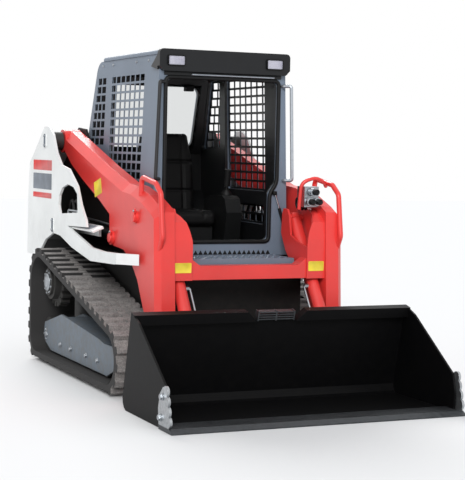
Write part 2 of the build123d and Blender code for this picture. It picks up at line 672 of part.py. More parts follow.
with BuildPart() as side_screens:
    for outline in side_windows:
        window(outline, WINDOW_CORNER, 0, CAB_HALF_LOW, Mode.ADD)
    wedge(CAB_FRONT, CAB_REAR, 0, Mode.INTERSECT)
    add(screen_core.part, mode=Mode.SUBTRACT)
    for outline in side_windows:
        low = min(z for y, z in outline)
        high = max(z for y, z in outline)
        front = min(y for y, z in outline)
        rows = max(2, round((high - low) / HOLE_HIGH))
        pitch = (high - low - SCREEN_BAR) / rows
        for i in range(rows):
            foot = low + SCREEN_BAR + i * pitch
            head = foot + pitch - SCREEN_BAR
            share = (head - low) / (high - low)
            end = outline[1][0] + (outline[2][0] - outline[1][0]) * share
            columns = max(2, round((end - front) / HOLE_LONG))
            step = (end - front - SCREEN_BAR) / columns
            with BuildSketch(Plane.YZ) as holes:
                with Locations(((front + end) / 2, (foot + head) / 2)):
                    with GridLocations(step, 1, columns, 1):
                        Rectangle(step - SCREEN_BAR, head - foot)
            extrude(holes.sketch, amount=CAB_HALF_LOW, mode=Mode.SUBTRACT)
    mirror(about=Plane.YZ)
side_screens.part.label = "side_screens"
export_step(side_screens.part, "parts/side_screens.step")

# Rear window: a pane against the inside of the sloping rear wall
PANE = 6
PANE_LOW = 1470
PANE_TOP = 1930
with BuildPart() as rear_window:
    pane_line = [(rear_skin(z) - CAB_WALL, z) for z in (PANE_TOP, PANE_LOW)]
    strip(pane_line, PANE, -REAR_WINDOW_HALF - 15, REAR_WINDOW_HALF + 15)
rear_window.part.label = "rear_window"
export_step(rear_window.part, "parts/rear_window.step")

# Cab floor with the footwell, resting between the sides of the tub
FLOOR_PLATE = 16
TUB_INNER = TUB_HALF - TUB_PLATE
with BuildPart() as cab_floor:
    block(-TUB_INNER, TUB_INNER, TUB_FRONT + TUB_PLATE, 1040, FLOOR_TOP - FLOOR_PLATE, FLOOR_TOP)
    for x in (-150, 150):
        slab([(-330, FLOOR_TOP), (-300, FLOOR_TOP), (-180, 730), (-196, 745)], x - 50, x + 50)
cab_floor.part.label = "cab_floor"
export_step(cab_floor.part, "parts/cab_floor.step")

# Seat: pedestal, cushion and high backrest
CONSOLE_OUT = CAB_HALF_TOP - 78
CONSOLE_IN = CONSOLE_OUT - 112
SEAT_HALF = CONSOLE_IN - 13
SEAT_FRONT = 330
SEAT_BACK = 800
SEAT_LOW = 960
CUSHION = 110
with BuildPart() as seat_base:
    block(-SEAT_HALF + 25, SEAT_HALF - 25, SEAT_FRONT + 60, SEAT_BACK - 90, FLOOR_TOP, SEAT_LOW)
seat_base.part.label = "seat_base"
export_step(seat_base.part, "parts/seat_base.step")

with BuildPart() as seat_cushion:
    block(-SEAT_HALF, SEAT_HALF, SEAT_FRONT, SEAT_BACK - 110, SEAT_LOW, SEAT_LOW + CUSHION)
    fillet(seat_cushion.edges().group_by(Axis.Z)[-1], 34)
seat_cushion.part.label = "seat_cushion"
export_step(seat_cushion.part, "parts/seat_cushion.step")

with BuildPart() as seat_backrest:
    back_profile = [(SEAT_BACK - 110, SEAT_LOW), (SEAT_BACK, SEAT_LOW), (SEAT_BACK + 70, 1600), (SEAT_BACK - 20, 1600)]
    slab(back_profile, -SEAT_HALF, SEAT_HALF)
    fillet(seat_backrest.faces().sort_by(Axis.Z)[-1].edges(), 40)
seat_backrest.part.label = "seat_backrest"
export_step(seat_backrest.part, "parts/seat_backrest.step")

# Control consoles on both sides of the seat
CONSOLE_TOP = 1170
with BuildPart() as consoles:
    console_top = [(240, 1060), (280, 1150), (330, CONSOLE_TOP), (430, CONSOLE_TOP), (640, CONSOLE_TOP - 20)]
    console_line = console_top + [(640, FLOOR_TOP), (330, FLOOR_TOP)]
    slab(console_line, CONSOLE_IN, CONSOLE_OUT)
    fillet(consoles.edges().filter_by(Axis.X).group_by(Axis.Z)[-1], 20)
    mirror(about=Plane.YZ)
consoles.part.label = "consoles"
export_step(consoles.part, "parts/consoles.step")

# Joysticks with plain grips
STICK_X = (CONSOLE_IN + CONSOLE_OUT) / 2
with BuildPart() as joysticks:
    bar(STICK_X, (380, CONSOLE_TOP), (380, CONSOLE_TOP + 70), 12)
    bar(STICK_X, (380, CONSOLE_TOP + 64), (362, CONSOLE_TOP + 175), 24)
    mirror(about=Plane.YZ)
joysticks.part.label = "joysticks"
export_step(joysticks.part, "parts/joysticks.step")

# Grab rails on the front posts, bent out to the posts' corners
RAIL = 11
RAIL_STAND = 24
RAIL_OUT = 14
RAIL_TOP = CAB_EAVE - 170
RAIL_LOW = RAIL_TOP - 600
with BuildPart() as grab_rails:
    rail_line = []
    for z, order in ((RAIL_TOP, 1), (RAIL_LOW, -1)):
        foot = cab_half(z) - RAIL_STAND
        grip = cab_half(z) + RAIL_OUT
        bend = [(foot, CAB_FRONT, z), (foot, CAB_FRONT - RAIL_STAND, z), (grip, CAB_FRONT - 58, z)]
        rail_line += bend[::order]
    tube(rail_line, RAIL, 14)
    mirror(about=Plane.YZ)
grab_rails.part.label = "grab_rails"
export_step(grab_rails.part, "parts/grab_rails.step")

# Entry step ahead of the cab, carried on the front of the tub
STEP_FRONT = -535
STEP_HALF = KNEE_IN - 20
STEP_TOP = TUB_TOP + 6
with BuildPart() as front_step:
    block(-STEP_HALF, STEP_HALF, STEP_FRONT, CAB_FRONT, TUB_TOP, STEP_TOP)
    block(-STEP_HALF, STEP_HALF, STEP_FRONT, STEP_FRONT + 8, TUB_TOP - 44, TUB_TOP)
front_step.part.label = "front_step"
export_step(front_step.part, "parts/front_step.step")

# Lift arms: a box boom, a leg down to the bucket hinge and a knee pocket for the tilt cylinder
FOOT = 58
boom = [
    (1190, 1592),
    (1104, 1580),
    (307, 1357),
    (-92, 1256),
    (-242, 1244),
    (-446, 1198),
    (-608, 1140),
    (-677, 1106),
    (-702, 692),
    (-712, 529),
    polar(HINGE, FOOT, 158),
    polar(HINGE, FOOT, 318),
    (-484, 530),
    (-384, 683),
    (-267, 785),
    (-129, 848),
    polar(LIFT_PIN, 50, 250),
    polar(LIFT_PIN, 50, 300),
    polar(LIFT_PIN, 50, 0),
    (141, 976),
    (145, 1055),
    (353, 1139),
    (691, 1255),
    (944, 1354),
    (1099, 1440),
]
lift_lane = [(22, 800), (22, 968), (60, 978), (260, 978), (260, 800)]
KNEE_TOP = 12
knee_cap = [
    (KNEE_FRONT, 700),
    (KNEE_FRONT, 940),
    (KNEE_FRONT + 14, 1046),
    (KNEE_FRONT + 76, 1096),
    (KNEE_FRONT + 176, 1122),
    (KNEE_FRONT + 236, 1128),
]
knee_plate = [
    (KNEE_FRONT, 700),
    (KNEE_FRONT, 890),
    (KNEE_FRONT + 150, 918),
    (-434, 952),
    polar(TILT_TOP, 60, 170),
    polar(TILT_TOP, 60, 120),
    polar(TILT_TOP, 60, 70),
    (TILT_TOP[0] + 38, TILT_TOP[1] + 24),
    (-300, 960),
    (-370, 850),
    (-430, 800),
    (-560, 700),
]
knee_curve = [(-1, 880), (2, 936), (16, 990), (36, 1040), (62, 1080), (92, 1107), (KNEE_WIDTH, 1124)]
LANE_IN = LIFT_X - 46
LANE_OUT = LIFT_X + 46
CREST = 50
LEG_BEVEL = 34
BOSS = 14


def edges_between(part, points, x):
    """The edges of a part that run along a polyline of the side plane at x."""
    found = []
    for a, b in zip(points, points[1:]):
        found.append(part.edges().sort_by_distance((x, (a[0] + b[0]) / 2, (a[1] + b[1]) / 2))[0])
    return found


with BuildPart() as arm_left:
    slab(boom, ARM_IN, ARM_OUT)
    chamfer(edges_between(arm_left, boom[1:8], ARM_OUT), CREST)
    chamfer(edges_between(arm_left, boom[8:11], ARM_OUT), LEG_BEVEL)
    drum(LIFT_PIVOT, 80, ARM_IN, ARM_OUT)
    drum(HINGE, FOOT, ARM_IN, ARM_OUT)
    slab(lift_lane, LANE_IN, LANE_OUT, Mode.SUBTRACT)
    drum(LIFT_PIVOT, PIVOT_PIN + PIN_GAP, ARM_IN, ARM_OUT, Mode.SUBTRACT)
    drum(HINGE, HINGE_PIN + PIN_GAP, ARM_IN, ARM_OUT, Mode.SUBTRACT)
    strip(knee_cap, KNEE_TOP, KNEE_IN, ARM_IN)
    with BuildSketch(Plane.XZ.offset(-KNEE_FRONT - 240)) as scallop:
        with BuildLine():
            edge = [(KNEE_IN + x, z) for x, z in knee_curve]
            Polyline(*edge, (ARM_IN, 1300), (KNEE_IN - 1, 1300), close=True)
        make_face()
    extrude(scallop.sketch, amount=245, mode=Mode.SUBTRACT)
    slab(knee_plate, KNEE_IN, KNEE_IN + KNEE_PLATE)
    drum(TILT_TOP, CYL_PIN, KNEE_IN, ARM_IN)
    for pin, rim in ((LIFT_PIN, 44), (TILT_TOP, 38), (HINGE, 46)):
        drum(pin, rim, ARM_OUT, ARM_OUT + BOSS if pin != HINGE else ARM_OUT + 4)
    drum(HINGE, HINGE_PIN + PIN_GAP, ARM_OUT, ARM_OUT + 4, Mode.SUBTRACT)
    tube(
        [
            (ARM_OUT - 32, -338, 1150),
            (ARM_OUT - 32, -350, 1306),
            (ARM_OUT - 32, -590, 1272),
            (ARM_OUT - 32, -672, 1216),
            (ARM_OUT - 32, -712, 960),
            (ARM_OUT - 32, -660, 868),
        ],
        16,
        40,
    )
arm_left.part.label = "arm_left"
export_step(arm_left.part, "parts/arm_left.step")

with BuildPart() as arm_right:
    mirror(arm_left.part, about=Plane.YZ)
arm_right.part.label = "arm_right"
export_step(arm_right.part, "parts/arm_right.step")

# Cross member between the knees
CROSS_LOW = 702
CROSS_TOP = 785
GUSSET = 40
with BuildPart() as cross_member:
    with BuildSketch(Plane.XZ.offset(-KNEE_FRONT - 100)) as beam:
        with BuildLine():
            Polyline(
                (-KNEE_IN, CROSS_LOW),
                (KNEE_IN, CROSS_LOW),
                (KNEE_IN, CROSS_TOP + GUSSET),
                (KNEE_IN - GUSSET - 16, CROSS_TOP),
                (GUSSET + 16 - KNEE_IN, CROSS_TOP),
                (-KNEE_IN, CROSS_TOP + GUSSET),
                close=True,
            )
        make_face()
    extrude(beam.sketch, amount=88)
cross_member.part.label = "cross_member"
export_step(cross_member.part, "parts/cross_member.step")

# Auxiliary hydraulic couplers beside the top of the left arm
AUX_WIDTH = 98
AUX_FRONT = -575
AUX_LOW = 1134
AUX_HIGH = 1262
with BuildPart() as aux_couplers:
    block(ARM_IN - AUX_WIDTH, ARM_IN, AUX_FRONT, AUX_FRONT + 100, AUX_LOW, AUX_HIGH)
    aux_mid = ARM_IN - AUX_WIDTH / 2
    for x, z in ((aux_mid - 24, AUX_LOW + 34), (aux_mid + 24, AUX_LOW + 34), (aux_mid, AUX_HIGH - 34)):
        with BuildSketch(Plane.XZ.offset(-AUX_FRONT)) as socket:
            with Locations((x, z)):
                Circle(20)
        extrude(socket.sketch, amount=44)
aux_couplers.part.label = "aux_couplers"
export_step(aux_couplers.part, "parts/aux_couplers.step")

# Lift cylinders: barrels on the towers, rods towards the arms
lift_length = hypot(LIFT_PIN[0] - LIFT_BASE[0], LIFT_PIN[1] - LIFT_BASE[1])
LIFT_GLAND = lift_length - 62
with BuildPart() as lift_barrels:
    bar(LIFT_X, LIFT_BASE, along(LIFT_BASE, LIFT_PIN, 60), EYE_WIDTH / 2 - 1)
    bar(LIFT_X, along(LIFT_BASE, LIFT_PIN, 54), along(LIFT_BASE, LIFT_PIN, LIFT_GLAND), LIFT_BARREL)
    bar(LIFT_X, along(LIFT_BASE, LIFT_PIN, LIFT_GLAND - 40), along(LIFT_BASE, LIFT_PIN, LIFT_GLAND), LIFT_BARREL + 4)
    drum(LIFT_BASE, LIFT_EYE, LIFT_X - EYE_WIDTH / 2, LIFT_X + EYE_WIDTH / 2)
    bar(LIFT_X, along(LIFT_BASE, LIFT_PIN, 70), along(LIFT_BASE, LIFT_PIN, LIFT_GLAND), LIFT_ROD + BORE_GAP, Mode.SUBTRACT)
    drum(LIFT_BASE, CYL_PIN + PIN_GAP, LIFT_X - LIFT_BARREL, LIFT_X + LIFT_BARREL, Mode.SUBTRACT)
    mirror(about=Plane.YZ)
lift_barrels.part.label = "lift_barrels"
export_step(lift_barrels.part, "parts/lift_barrels.step")

with BuildPart() as lift_rods:
    bar(LIFT_X, along(LIFT_BASE, LIFT_PIN, 76), along(LIFT_BASE, LIFT_PIN, lift_length - 20), LIFT_ROD)
    drum(LIFT_PIN, LIFT_EYE, LIFT_X - EYE_WIDTH / 2, LIFT_X + EYE_WIDTH / 2)
    drum(LIFT_PIN, CYL_PIN, LIFT_X - EYE_WIDTH / 2, LIFT_X + EYE_WIDTH / 2, Mode.SUBTRACT)
    mirror(about=Plane.YZ)
lift_rods.part.label = "lift_rods"
export_step(lift_rods.part, "parts/lift_rods.step")

# Tilt cylinders: barrels in the knees, rods towards the coupler
tilt_length = hypot(TILT_PIN[0] - TILT_TOP[0], TILT_PIN[1] - TILT_TOP[1])
TILT_GLAND = tilt_length - 150
TILT_PISTON = 205
with BuildPart() as tilt_barrels:
    bar(TILT_X, along(TILT_TOP, TILT_PIN, 24), along(TILT_TOP, TILT_PIN, TILT_GLAND), TILT_BARREL)
    drum(TILT_TOP, TILT_EYE, TILT_X - EYE_WIDTH / 2, TILT_X + EYE_WIDTH / 2)
    bar(TILT_X, along(TILT_TOP, TILT_PIN, 60), along(TILT_TOP, TILT_PIN, TILT_GLAND), TILT_ROD + BORE_GAP, Mode.SUBTRACT)
    drum(TILT_TOP, CYL_PIN + PIN_GAP, TILT_X - TILT_BARREL, TILT_X + TILT_BARREL, Mode.SUBTRACT)
    mirror(about=Plane.YZ)
tilt_barrels.part.label = "tilt_barrels"
export_step(tilt_barrels.part, "parts/tilt_barrels.step")

with BuildPart() as tilt_rods:
    bar(TILT_X, along(TILT_TOP, TILT_PIN, TILT_PISTON), along(TILT_TOP, TILT_PIN, tilt_length - 20), TILT_ROD)
    drum(TILT_PIN, TILT_EYE, TILT_X - EYE_WIDTH / 2, TILT_X + EYE_WIDTH / 2)
    drum(TILT_PIN, CYL_PIN, TILT_X - EYE_WIDTH / 2, TILT_X + EYE_WIDTH / 2, Mode.SUBTRACT)
    mirror(about=Plane.YZ)
tilt_rods.part.label = "tilt_rods"
export_step(tilt_rods.part, "parts/tilt_rods.step")

# Bucket: bent back and floor, side plates and a box rim along the top
back_span = hypot(BUCKET_BACK_TOP[0] - BUCKET_HEEL[0], BUCKET_BACK_TOP[1] - BUCKET_HEEL[1])
back_up = ((BUCKET_BACK_TOP[0] - BUCKET_HEEL[0]) / back_span, (BUCKET_BACK_TOP[1] - BUCKET_HEEL[1]) / back_span)


def back(s, d):
    """Point s up the bucket's back from its heel and d behind it."""
    return (BUCKET_HEEL[0] + s * back_up[0] + d * back_up[1], BUCKET_HEEL[1] + s * back_up[1] - d * back_up[0])


SHELL_HALF = BUCKET_HALF - CUTTER
EDGE_REAR = BUCKET_TIP + EDGE_DEPTH
heel = [BUCKET_HEEL, (-901, 38), (-919, 14), (FLOOR_START, 0)]
side_front = [(-1136, 516), (-1572, 224), (-1600, 120), (-1590, EDGE_THICK), (EDGE_REAR, EDGE_THICK), (EDGE_REAR, 0)]
with BuildPart() as bucket_shell:
    strip([BUCKET_BACK_TOP] + heel + [(EDGE_REAR, 0)], BUCKET_PLATE, -SHELL_HALF, SHELL_HALF)
    rim = [back(back_span, -BUCKET_PLATE), back(back_span, -56), back(back_span - 62, -56), back(back_span - 62, -BUCKET_PLATE)]
    slab(rim, -SHELL_HALF, SHELL_HALF)
    back_face = Plane(origin=(0, *BUCKET_HEEL), x_dir=(-1, 0, 0), z_dir=(0, back_up[1], -back_up[0]))
    with BuildSketch(back_face.offset(-60)) as notch:
        with BuildLine():
            Polyline(
                (-NOTCH_TOP, back_span + 1),
                (-NOTCH_LOW, back_span - NOTCH_DEPTH),
                (NOTCH_LOW, back_span - NOTCH_DEPTH),
                (NOTCH_TOP, back_span + 1),
                close=True,
            )
        make_face()
    extrude(notch.sketch, amount=70, mode=Mode.SUBTRACT)
    for x in (-SHELL_HALF, SHELL_HALF - BUCKET_PLATE):
        slab([BUCKET_BACK_TOP] + side_front + heel[::-1], x, x + BUCKET_PLATE)
bucket_shell.part.label = "bucket_shell"
export_step(bucket_shell.part, "parts/bucket_shell.step")

# Step grating standing in the notch of the bucket's rim
GRIP_BARS = 4
GRIP_DEPTH = 40
GRIP_HALF = NOTCH_LOW - 6
GRIP_END = 8
with BuildPart() as bucket_step:
    low = back_span - NOTCH_DEPTH
    pitch = (NOTCH_DEPTH - 6) / GRIP_BARS
    for i in range(GRIP_BARS):
        s = low + 6 + i * pitch
        slab([back(s, 0), back(s + pitch / 2, 0), back(s + pitch / 2, -GRIP_DEPTH), back(s, -GRIP_DEPTH)], -GRIP_HALF, GRIP_HALF)
    end_plate = [back(low, 0), back(back_span - 4, 0), back(back_span - 4, -GRIP_DEPTH), back(low, -GRIP_DEPTH)]
    for x in (-GRIP_HALF, -GRIP_END / 2, GRIP_HALF - GRIP_END):
        slab(end_plate, x, x + GRIP_END)
bucket_step.part.label = "bucket_step"
export_step(bucket_step.part, "parts/bucket_step.step")

# Bolted cutting edge
with BuildPart() as cutting_edge:
    edge_profile = [(EDGE_REAR, 0), (EDGE_REAR, EDGE_THICK), (BUCKET_TIP + 40, EDGE_THICK), (BUCKET_TIP, 6), (BUCKET_TIP, 0)]
    slab(edge_profile, -BUCKET_HALF, BUCKET_HALF)
cutting_edge.part.label = "cutting_edge"
export_step(cutting_edge.part, "parts/cutting_edge.step")

# Side cutters on the front corners of the side plates
with BuildPart() as side_cutters:
    cutter = [(-1500, EDGE_THICK), (-1490, 110), (-1512, 190), (-1556, 232), (-1590, 216), (-1636, 56), (-1640, EDGE_THICK)]
    slab(cutter, SHELL_HALF, BUCKET_HALF)
    for i in range(CUTTER_LOBES):
        drum(along((-1636, 56), (-1590, 216), i * 54), 30, SHELL_HALF, BUCKET_HALF)
    for spot in ((-1530, 66), (-1552, 180)):
        drum(spot, 16, SHELL_HALF, BUCKET_HALF, Mode.SUBTRACT)
    mirror(about=Plane.YZ)
side_cutters.part.label = "side_cutters"
export_step(side_cutters.part, "parts/side_cutters.step")

# Coupler frame between the arm feet and the bucket's back
COUPLER_PLATE = 16
EAR_REACH = 300
ears = {
    "inner": (TILT_X - EYE_WIDTH / 2 - 20, TILT_X - EYE_WIDTH / 2 - 8),
    "middle": (ARM_IN - 20, ARM_IN - 8),
    "outer": (ARM_OUT + 8, ARM_OUT + 22),
}
with BuildPart() as coupler:
    for s0, s1 in ((4, 84), (340, 420)):
        slab([back(s0, 0), back(s1, 0), back(s1, COUPLER_PLATE), back(s0, COUPLER_PLATE)], -ears["outer"][1], ears["outer"][1])
    for x0, x1 in ((ears["outer"][0], ears["outer"][1]), (ears["middle"][0], ears["middle"][1])):
        slab([back(4, 0), back(420, 0), back(420, 30), back(120, 110), back(30, 70), back(4, 30)], x0, x1)
        hull([(HINGE, 46), (back(110, 30), 20), (back(60, 30), 20)], x0, x1)
    for x0, x1 in ((ears["inner"][0], ears["inner"][1]), (ears["middle"][0], ears["middle"][1])):
        slab([back(4, 0), back(420, 0), back(420, 30), back(4, 30)], x0, x1)
        hull([(TILT_PIN, 34), (back(220, 20), 18), (back(350, 20), 18)], x0, x1)
    drum(HINGE, HINGE_PIN, ears["middle"][0], ears["outer"][1])
    mirror(about=Plane.YZ)
coupler.part.label = "coupler"
export_step(coupler.part, "parts/coupler.step")
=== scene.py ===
# %% [markdown]
# A compact track loader, dressed for its portrait.
# The machine itself comes in as a finished frame of solid parts: tracks, towers, cab, arms and bucket.
# This lesson adds what paint shops and upholsterers add: finishes, a padded seat, lamps, treads, bolts and pipes.
# Everything is in metres, the front of the machine points along -Y and its left side along +X.

# %% Load the frame
from math import atan2, cos, pi, radians, sin

import bmesh
import bpy
from mathutils import Matrix, Vector


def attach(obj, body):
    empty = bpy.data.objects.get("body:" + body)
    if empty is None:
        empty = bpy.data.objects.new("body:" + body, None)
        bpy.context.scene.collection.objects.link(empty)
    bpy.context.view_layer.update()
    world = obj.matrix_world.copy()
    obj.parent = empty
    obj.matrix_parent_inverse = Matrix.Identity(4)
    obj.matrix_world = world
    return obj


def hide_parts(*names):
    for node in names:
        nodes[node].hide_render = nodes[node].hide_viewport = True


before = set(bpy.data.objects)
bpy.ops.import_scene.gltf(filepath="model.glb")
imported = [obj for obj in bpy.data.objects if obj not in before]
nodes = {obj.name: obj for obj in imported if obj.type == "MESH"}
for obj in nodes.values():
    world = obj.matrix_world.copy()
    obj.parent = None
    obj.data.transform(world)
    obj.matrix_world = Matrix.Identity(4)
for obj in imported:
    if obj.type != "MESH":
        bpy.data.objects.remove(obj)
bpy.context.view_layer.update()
print("nodes in the frame:", len(nodes))

# %% [markdown]
# The camera stands where the photographer stood: in front of the machine's right-hand corner, about nine metres off,
# at standing eye height. A long lens keeps the track and the bucket in proportion. The view was settled by
# matching known corners of the machine, so the position and the three turns are plain numbers here.

# %% Camera
EYE = Vector((-3.6288, -8.5156, 1.4843))
YAW, PITCH, ROLL = radians(24.081), radians(-3.624), radians(1.204)
LENS_MM, SENSOR_MM = 107.781, 36.0

ahead = Vector((sin(YAW) * cos(PITCH), cos(YAW) * cos(PITCH), sin(PITCH)))
right = Vector((cos(YAW), -sin(YAW), 0))
up = right.cross(ahead)
level_right = right * cos(ROLL) + up * sin(ROLL)
level_up = up * cos(ROLL) - right * sin(ROLL)
lens = bpy.data.cameras.new("portrait_lens")
lens.sensor_fit = "AUTO"
lens.sensor_width = SENSOR_MM
lens.lens = LENS_MM
lens.clip_end = 200.0
camera = bpy.data.objects.new("portrait_camera", lens)
bpy.context.collection.objects.link(camera)
turn = Matrix((level_right, level_up, -ahead)).transposed().to_4x4()
camera.matrix_world = Matrix.Translation(EYE) @ turn
bpy.context.scene.camera = camera
print("camera distance to the machine:", round(EYE.length, 2))

# %% [markdown]
# Light: a bright, hazy yard. A wide sun from the machine's right front lights the arms and the tower, a second soft
# one from behind throws the shadow forward under the bucket, and a pale sky fills the rest. The floor is a plain
# pale plane that keeps that shadow.

# %% Light and floor
scene = bpy.context.scene
scene.view_settings.view_transform = "Standard"
SKY_LIGHT, YARD_SUN, SHADOW_SUN = 0.56, 2.2, 2.0
SUN_SPREAD = radians(24)
FLOOR_SIZE, FLOOR_DROP = 60, 0.0015


def put(tree, kind, settings=None, **inputs):
    """Add one node, set its settings, and set or link its inputs (an underscore stands for a space)."""
    made = tree.nodes.new(kind)
    for name, value in (settings or {}).items():
        setattr(made, name, value)
    for name, value in inputs.items():
        key = int(name[2:]) if name.startswith("in") and name[2:].isdigit() else name.replace("_", " ")
        if isinstance(value, bpy.types.NodeSocket):
            tree.links.new(value, made.inputs[key])
        else:
            made.inputs[key].default_value = value
    return made


def colour(text):
    """Linear RGBA from an sRGB hex value."""
    parts = [int(text[i:i + 2], 16) / 255 for i in (1, 3, 5)]
    return tuple(p / 12.92 if p <= 0.04045 else ((p + 0.055) / 1.055) ** 2.4 for p in parts) + (1.0,)


def lamp(name, power, towards):
    """A wide sun that shines along a direction."""
    data = bpy.data.lights.new(name, "SUN")
    data.energy = power
    data.angle = SUN_SPREAD
    made = bpy.data.objects.new(name, data)
    made.rotation_euler = Vector(towards).to_track_quat("-Z", "Y").to_euler()
    bpy.context.collection.objects.link(made)


world = bpy.data.worlds.new("pale_sky")
scene.world = world
world.use_nodes = True
sky = world.node_tree
sky.nodes.clear()
ray = put(sky, "ShaderNodeLightPath").outputs
seen = put(sky, "ShaderNodeMath", {"operation": "MAXIMUM"}, in0=ray["Is Camera Ray"], in1=ray["Is Transmission Ray"])
seen = put(sky, "ShaderNodeMath", {"operation": "MAXIMUM"}, in0=seen.outputs[0], in1=ray["Is Glossy Ray"])
fill_light = put(sky, "ShaderNodeBackground", Color=colour("#F3F6FA"), Strength=SKY_LIGHT)
backdrop = put(sky, "ShaderNodeBackground", Color=colour("#FFFFFF"), Strength=1.0)
both = put(sky, "ShaderNodeMixShader", in0=seen.outputs[0], in1=fill_light.outputs[0], in2=backdrop.outputs[0])
put(sky, "ShaderNodeOutputWorld", Surface=both.outputs[0])
lamp("yard_sun", YARD_SUN, (0.42, 0.80, -0.50))
lamp("shadow_sun", SHADOW_SUN, (-0.12, -0.80, -0.64))

bpy.ops.object.select_all(action="DESELECT")
bpy.ops.mesh.primitive_plane_add(size=FLOOR_SIZE, location=(0, 0, -FLOOR_DROP))
floor = bpy.context.object
floor.name = "yard_floor"
ground = bpy.data.materials.new("pale_ground")  # an even, matte pale ground that shows only the shadow
ground.use_nodes = True
tree = ground.node_tree
tree.nodes.clear()
matte = put(tree, "ShaderNodeBsdfDiffuse", Color=colour("#E6E6E6"), Roughness=0.0)
put(tree, "ShaderNodeOutputMaterial", Surface=matte.outputs[0])
floor.data.materials.append(ground)

# %% [markdown]
# Finishes. Most of the machine is steel plate in two-part enamel: coral red arms, white towers, blue-grey cab and a
# black bucket. Enamel has a fine orange peel, a little dust that settles low down, and edges that the light catches.
# One function builds the enamels, because only colour, gloss and dust differ between them. Inside the cab they
# turn near black, partly dark trim and partly painted shade, so a second function finds the faces that lie inside
# the walls, which lean in as they rise.

# %% Enamels
MM = 0.001
CAB_SILL, CAB_HALF, CAB_LEAN = 0.810, 0.470, 0.0336
CAB_KNEE, REAR_LEAN = 1.44, 0.3065
INSIDE_FRONT, INSIDE_REAR, INSIDE_TOP = -0.187, 1.142, 2.066
BLEND = {"data_type": "RGBA"}
finishes = {}


def material(name):
    """A fresh material: its node tree, its texture coordinates and its shader."""
    made = bpy.data.materials.new(name)
    made.use_nodes = True
    tree = made.node_tree
    tree.nodes.clear()
    place = put(tree, "ShaderNodeTexCoord").outputs["Object"]
    skin = put(tree, "ShaderNodeBsdfPrincipled")
    put(tree, "ShaderNodeOutputMaterial", Surface=skin.outputs[0])
    finishes[name] = made
    return tree, place, skin


def trim_and_shade_inside(tree, x, y, z, half):
    """A mask of what lies inside the cab's side, front, top and rear walls."""
    # The dark that this mask brings in is partly trim and partly painted shade inside the cab.
    lean = put(tree, "ShaderNodeMath", {"operation": "MULTIPLY_ADD"}, in0=z, in1=CAB_LEAN, in2=-CAB_LEAN * CAB_SILL)
    wide = put(tree, "ShaderNodeMath", {"operation": "ABSOLUTE"}, in0=x)
    reach = put(tree, "ShaderNodeMath", {"operation": "ADD"}, in0=wide.outputs[0], in1=lean.outputs[0])
    rise = put(tree, "ShaderNodeMath", {"operation": "SUBTRACT"}, in0=z, in1=CAB_KNEE)
    rise = put(tree, "ShaderNodeMath", {"operation": "MAXIMUM"}, in0=rise.outputs[0], in1=0.0)
    back = put(tree, "ShaderNodeMath", {"operation": "MULTIPLY_ADD"}, in0=rise.outputs[0], in1=REAR_LEAN, in2=y)
    mask = put(tree, "ShaderNodeMath", {"operation": "LESS_THAN"}, in0=reach.outputs[0], in1=half)
    for value, kind, limit in (
        (y, "GREATER_THAN", INSIDE_FRONT),
        (z, "LESS_THAN", INSIDE_TOP),
        (back.outputs[0], "LESS_THAN", INSIDE_REAR),
    ):
        wall = put(tree, "ShaderNodeMath", {"operation": kind}, in0=value, in1=limit)
        mask = put(tree, "ShaderNodeMath", {"operation": "MULTIPLY"}, in0=mask.outputs[0], in1=wall.outputs[0])
    return mask.outputs[0]


def enamel(name, tone, gloss, dust, dust_tone="#8E867B", edge=2.5, inside=None, shine=0.5):
    """Sprayed enamel on plate: a slight drift of tone, orange peel, dust low down, softened edges."""
    tree, place, skin = material(name)
    part = put(tree, "ShaderNodeSeparateXYZ", Vector=place)
    x, y, z = (part.outputs[axis] for axis in "XYZ")
    drift = put(tree, "ShaderNodeTexNoise", Vector=place, Scale=1 / (260 * MM), Detail=3.0)
    shade = put(tree, "ShaderNodeMapRange", Value=drift.outputs["Fac"],
                From_Min=0.3, From_Max=0.7, To_Min=0.92, To_Max=1.05)
    base = put(tree, "ShaderNodeVectorMath", {"operation": "SCALE"}, in0=colour(tone)[:3], Scale=shade.outputs[0])
    low = put(tree, "ShaderNodeMapRange", Value=z, From_Min=1.1, From_Max=0.1, To_Min=0.12, To_Max=1.0)
    specks = put(tree, "ShaderNodeTexNoise", Vector=place, Scale=1 / (45 * MM), Detail=6.0, Roughness=0.65)
    patches = put(tree, "ShaderNodeMapRange", Value=specks.outputs["Fac"],
                  From_Min=0.42, From_Max=0.75, To_Min=0.0, To_Max=dust)
    cover = put(tree, "ShaderNodeMath", {"operation": "MULTIPLY"}, in0=patches.outputs[0], in1=low.outputs[0])
    coat = put(tree, "ShaderNodeMix", BLEND, in0=cover.outputs[0], in6=base.outputs[0], in7=colour(dust_tone))
    # Inside the cab the tone turns near black: painted shade, and on the cab's walls partly dark trim.
    if inside:
        dark, half = inside
        mask = trim_and_shade_inside(tree, x, y, z, half)
        coat = put(tree, "ShaderNodeMix", BLEND, in0=mask, in6=coat.outputs[2], in7=colour(dark))
    tree.links.new(coat.outputs[2], skin.inputs["Base Color"])
    rough = put(tree, "ShaderNodeMapRange", Value=cover.outputs[0],
                From_Min=0.0, From_Max=0.6, To_Min=gloss, To_Max=0.85)
    tree.links.new(rough.outputs[0], skin.inputs["Roughness"])
    skin.inputs["IOR"].default_value = 1.5
    skin.inputs["Specular IOR Level"].default_value = shine
    peel = put(tree, "ShaderNodeTexNoise", Vector=place, Scale=1 / (6 * MM), Detail=2.0)
    soft = put(tree, "ShaderNodeBevel", {"samples": 3}, Radius=edge * MM)
    bump = put(tree, "ShaderNodeBump", Strength=0.06, Distance=0.4 * MM,
               Height=peel.outputs["Fac"], Normal=soft.outputs[0])
    tree.links.new(bump.outputs[0], skin.inputs["Normal"])


# Warm red with soft highlights along the booms.
enamel("coral_red_enamel", "#DF3B37", 0.34, 0.10)
